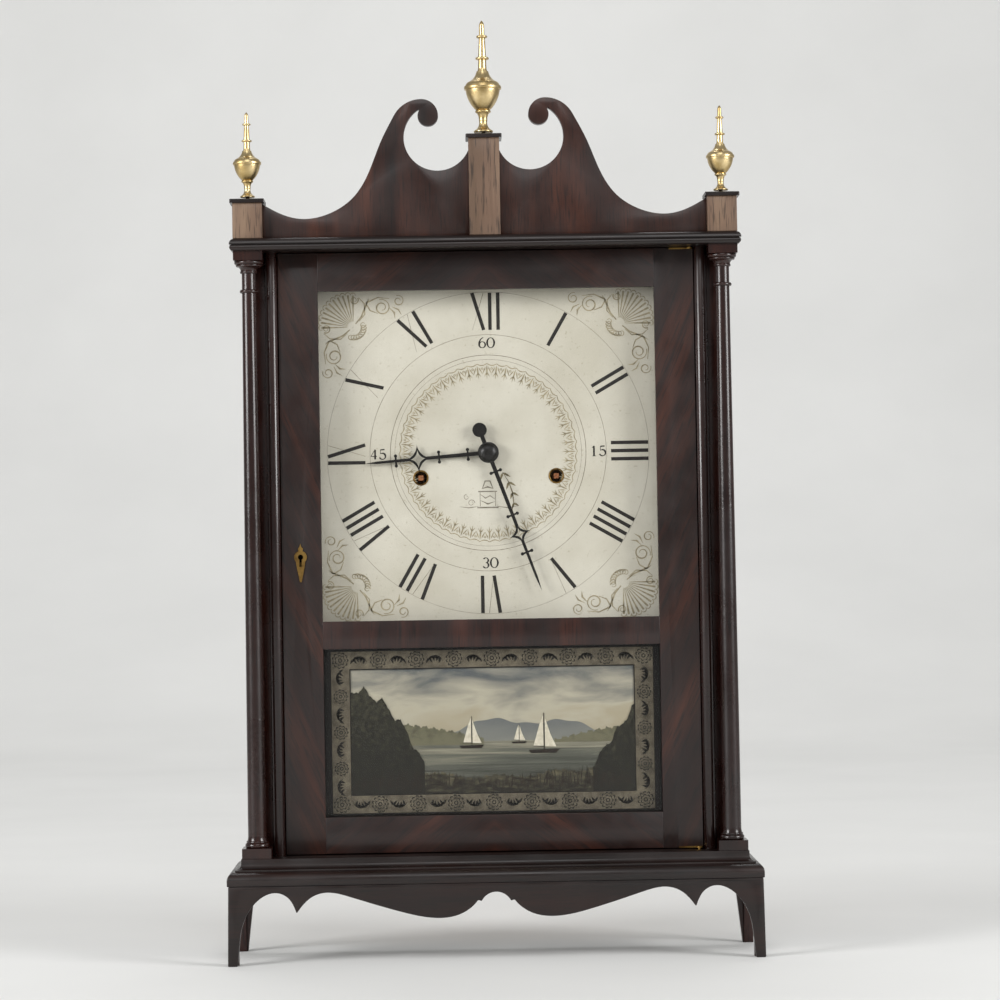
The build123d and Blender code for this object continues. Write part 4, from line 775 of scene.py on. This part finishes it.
# %% Tablet border
MARGIN_X, MARGIN_Z = 6.0, 2.4
out_x, out_z = half_open - MARGIN_X, (tablet_top - tablet_low) / 2 - MARGIN_Z
top_bar = rect(-out_x, out_x, mid_z + PICTURE_Z, mid_z + out_z)
low_bar = rect(-out_x, out_x, mid_z - out_z, mid_z - PICTURE_Z)
left_bar = rect(-out_x, -PICTURE_X, mid_z - PICTURE_Z, mid_z + PICTURE_Z)
right_bar = rect(PICTURE_X, out_x, mid_z - PICTURE_Z, mid_z + PICTURE_Z)
tablet_layer("tablet_border_ground", [top_bar, low_bar, left_bar, right_bar], 0.55, band_paint)
line = 0.9
# The outer bands are partly black edge paint and partly a painted shadow of the door's rebate on the glass;
# the thin lines round the picture are black paint.
margins_and_painted_shade = [rect(-half_sheet, half_sheet, mid_z + out_z, sheet_high),
           rect(-half_sheet, half_sheet, sheet_low, mid_z - out_z),
           rect(-half_sheet, -out_x, mid_z - out_z, mid_z + out_z),
           rect(out_x, half_sheet, mid_z - out_z, mid_z + out_z),
           rect(-PICTURE_X, PICTURE_X, mid_z + PICTURE_Z - line, mid_z + PICTURE_Z),
           rect(-PICTURE_X, PICTURE_X, mid_z - PICTURE_Z, mid_z - PICTURE_Z + line),
           rect(-PICTURE_X, line - PICTURE_X, mid_z - PICTURE_Z + line, mid_z + PICTURE_Z - line),
           rect(PICTURE_X - line, PICTURE_X, mid_z - PICTURE_Z + line, mid_z + PICTURE_Z - line)]
tablet_layer("tablet_margin_and_painted_shade", margins_and_painted_shade, 0.3, margin_and_shade_paint)


def rosette(x, z, radius):
    """A round flower: two rings of petals about an open eye."""
    marks = brush(arc(x, z, radius * 0.22, 0, 360, 12), [0.9, 0.9])
    for petals, ring_radius, width in ((7, 0.48, 1.5), (11, 0.84, 1.7)):
        for i in range(petals):
            angle = 360 * i / petals
            px = x + radius * ring_radius * cos(radians(angle))
            pz = z + radius * ring_radius * sin(radians(angle))
            marks += brush(arc(px, pz, radius * 0.17, angle - 110, angle + 110, 6), [0.3, width * 0.7, 0.3])
    return marks


def spray(x, z, angle, side):
    """A curved stem with paired leaves, which leans to one side."""
    stem = arc(x, z, 7.0, angle - 70 * side, angle + 45 * side, 8)
    marks = brush(stem, [0.3, 0.8, 0.3])
    for i in (2, 4, 6, 8):
        for swing in (-35, 35):
            marks += leaf(stem[i][0], stem[i][1], angle + (20 + i * 9) * side + 90 * side + swing, 5.0, 2.1)
    return marks


band_x, band_z = (out_x + PICTURE_X) / 2, (out_z + PICTURE_Z) / 2
flowers = []
ACROSS, UP = 8, 4
for i in range(ACROSS + 1):
    x = -band_x + 2 * band_x * i / ACROSS
    for side in (-1, 1):
        flowers += rosette(x, mid_z + side * band_z, 6.6)
        if i < ACROSS:
            flowers += spray(x + band_x / ACROSS, mid_z + side * (band_z - 4), 90 * side, (-1) ** i)
for i in range(1, UP):
    z = mid_z - band_z + 2 * band_z * i / UP
    for side in (-1, 1):
        flowers += rosette(side * band_x, z, 5.6)
for i in range(UP):
    z = mid_z - band_z + 2 * band_z * (i + 0.5) / UP
    for side in (-1, 1):
        flowers += spray(side * (band_x - 3.5), z, 90 - 90 * side, (-1) ** i)
border_dark = paint("stencil_border_dark", "0c0a07", "171410", 0.38, 500.0)
tablet_layer("tablet_border_flowers", flowers, 0.15, border_dark)

# %% [markdown]
# Each weight hangs on a linen cord that runs up over a pulley and down to a winding drum.
# The upper run never changes, so it is one tube. The hanging run gets shorter as the weight is wound up,
# and it is made as a second tube, from the pulley down to the weight. Its twist is a fine bump.

# %% Cords
CORD_RADIUS = 1.0 * MM
DRUM_RADIUS = 13.8 * MM
STRAND_PITCH = 1.6 * MM
STEP = 20 * MM
cord_linen, cord_tree, cord_shader = finish("cord_twisted_linen", Roughness=0.85)
strands = add(cord_tree, "TexWave", {
    "Vector": here(cord_tree, (1, 1, 1), (0, radians(35), 0)),
    "Scale": 0.314 / STRAND_PITCH, "Distortion": 1.0},
    wave_type="BANDS", bands_direction="Z")
cord_tint = add(cord_tree, "ValToRGB", {"Fac": strands.outputs["Fac"]}, stops=[
    (0.1, "6f6248"), (0.8, "a39471")])
cord_tree.links.new(cord_tint.outputs[0], cord_shader.inputs["Base Color"])
cord_bump = add(cord_tree, "Bump", {
    "Height": strands.outputs["Fac"], "Strength": 0.5, "Distance": 0.3 * MM})
cord_tree.links.new(cord_bump.outputs[0], cord_shader.inputs["Normal"])

for which, side in (("time", 1), ("strike", -1)):
    wheel_low, wheel_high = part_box("pulley_" + which)
    drum_low, drum_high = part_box(which + "_drum")
    weight_low, weight_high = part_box("weight_" + which)
    cord_low, cord_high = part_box("cord_" + which)
    wheel = (wheel_low + wheel_high) / 2
    drum_axis = (drum_low + drum_high) / 2
    hang_x = (weight_low.x + weight_high.x) / 2
    cord_y = (cord_low.y + cord_high.y) / 2
    run = abs(hang_x - wheel.x)
    drum_x = side * (abs(drum_axis.x) + DRUM_RADIUS)
    lean = atan2(wheel.z - drum_axis.z, abs(wheel.x) - abs(drum_x) - run)
    over = [(side * (abs(wheel.x) + run * cos(a)), wheel.z + run * sin(a))
            for a in [(lean + pi / 2) * i / 12 for i in range(13)]]
    upper = over + [(drum_x, drum_axis.z + 1 * MM)]
    lower = [(hang_x, wheel.z), (hang_x, weight_high.z - 0.4 * MM)]
    for label, points in (("over_pulley", upper), ("hanging", lower)):
        steps = [points[0]]
        for a, b in zip(points, points[1:]):
            pieces = max(int(Vector((b[0] - a[0], b[1] - a[1])).length / STEP), 1)
            steps += [(a[0] + (b[0] - a[0]) * k / pieces, a[1] + (b[1] - a[1]) * k / pieces)
                      for k in range(1, pieces + 1)]
        curve = bpy.data.curves.new("cord_line", "CURVE")
        curve.dimensions = "3D"
        curve.bevel_depth = CORD_RADIUS
        curve.bevel_resolution = 3
        curve.use_fill_caps = True
        spline = curve.splines.new("POLY")
        spline.points.add(len(steps) - 1)
        for point, (x, z) in zip(spline.points, steps):
            point.co = (x, cord_y, z, 1)
        tube = bpy.data.objects.new("cord_" + which + "_" + label, curve)
        bpy.context.scene.collection.objects.link(tube)
        only(tube)
        bpy.ops.object.convert(target="MESH")
        tube = bpy.context.object
        bpy.ops.object.shade_smooth()
        tube.data.materials.clear()
        tube.data.materials.append(cord_linen)
        settle(tube, "case", "cord", "cord_" + which)
        if label == "hanging":
            length = wheel.z - weight_high.z
            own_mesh(tube)
    print("cord", which, round(length / MM), "mm hanging")

# %% [markdown]
# The clock stood on a pale sheet of paper that curved up behind it, between two broad side lights.
# The two lights give each turned brass urn and column its pair of bright edges.
# The sheet is a plane, extruded up at its far edge, with the fold rounded by a bevel.

# %% Backdrop and lights
PAPER_SIDE = 16
PAPER_BACK = 5
PAPER_RISE = 7
FOLD_RADIUS = 2.4
bpy.ops.mesh.primitive_plane_add(size=1, location=(0, 0, 0))
sweep = bpy.context.object
sweep.name = "paper_sweep"
sweep.scale = (PAPER_SIDE, PAPER_SIDE, 1)
sweep.location = (0, PAPER_BACK - PAPER_SIDE / 2, 0)
bpy.ops.object.transform_apply(location=True, rotation=True, scale=True)
bpy.ops.object.mode_set(mode="EDIT")
bpy.ops.mesh.select_all(action="DESELECT")
shape = bmesh.from_edit_mesh(sweep.data)
for edge in shape.edges:
    if all(v.co.y > PAPER_BACK - 0.1 for v in edge.verts):
        edge.select = True
bmesh.update_edit_mesh(sweep.data)
bpy.ops.mesh.extrude_region_move(TRANSFORM_OT_translate={"value": (0, 0, PAPER_RISE)})
bpy.ops.object.mode_set(mode="OBJECT")
fold = sweep.modifiers.new("fold", "BEVEL")
fold.width = FOLD_RADIUS
fold.segments = 32
fold.limit_method = "ANGLE"
only(sweep)
bpy.ops.object.modifier_apply(modifier=fold.name)
bpy.ops.object.shade_smooth()
paper, paper_tree, paper_shader = finish("backdrop_paper", Roughness=0.9)
tooth = add(paper_tree, "TexNoise", {"Vector": here(paper_tree), "Scale": 3.0, "Detail": 4.0})
paper_tint = add(paper_tree, "ValToRGB", {"Fac": tooth.outputs[0]}, stops=[
    (0.3, "e2e2e0"), (0.7, "e7e7e5")])
paper_tree.links.new(paper_tint.outputs[0], paper_shader.inputs["Base Color"])
sweep.data.materials.append(paper)


def soft_light(name, place, size, watts, aim=(0, 0, 0.4)):
    """A square soft box that faces the clock."""
    direction = Vector(aim) - Vector(place)
    bpy.ops.object.light_add(
        type="AREA", location=place, rotation=direction.to_track_quat("-Z", "Y").to_euler())
    lamp = bpy.context.object
    lamp.name = name
    lamp.data.size = size
    lamp.data.energy = watts


soft_light("left_box", (-2.3, -1.5, 1.1), 1.1, 57)
soft_light("right_box", (2.3, -1.5, 1.1), 1.1, 54)
soft_light("top_front", (0.0, -2.6, 2.6), 1.6, 22)
soft_light("paper_wash", (0.0, 1.5, 3.8), 2.0, 70, aim=(0, 5.0, 0.9))
world = bpy.data.worlds.new("studio")
bpy.context.scene.world = world
world.use_nodes = True
world.node_tree.nodes["Background"].inputs["Color"].default_value = linear("e6e6e6")
world.node_tree.nodes["Background"].inputs["Strength"].default_value = 0.4
bpy.context.scene.view_settings.view_transform = "Standard"
print("stage and lights")
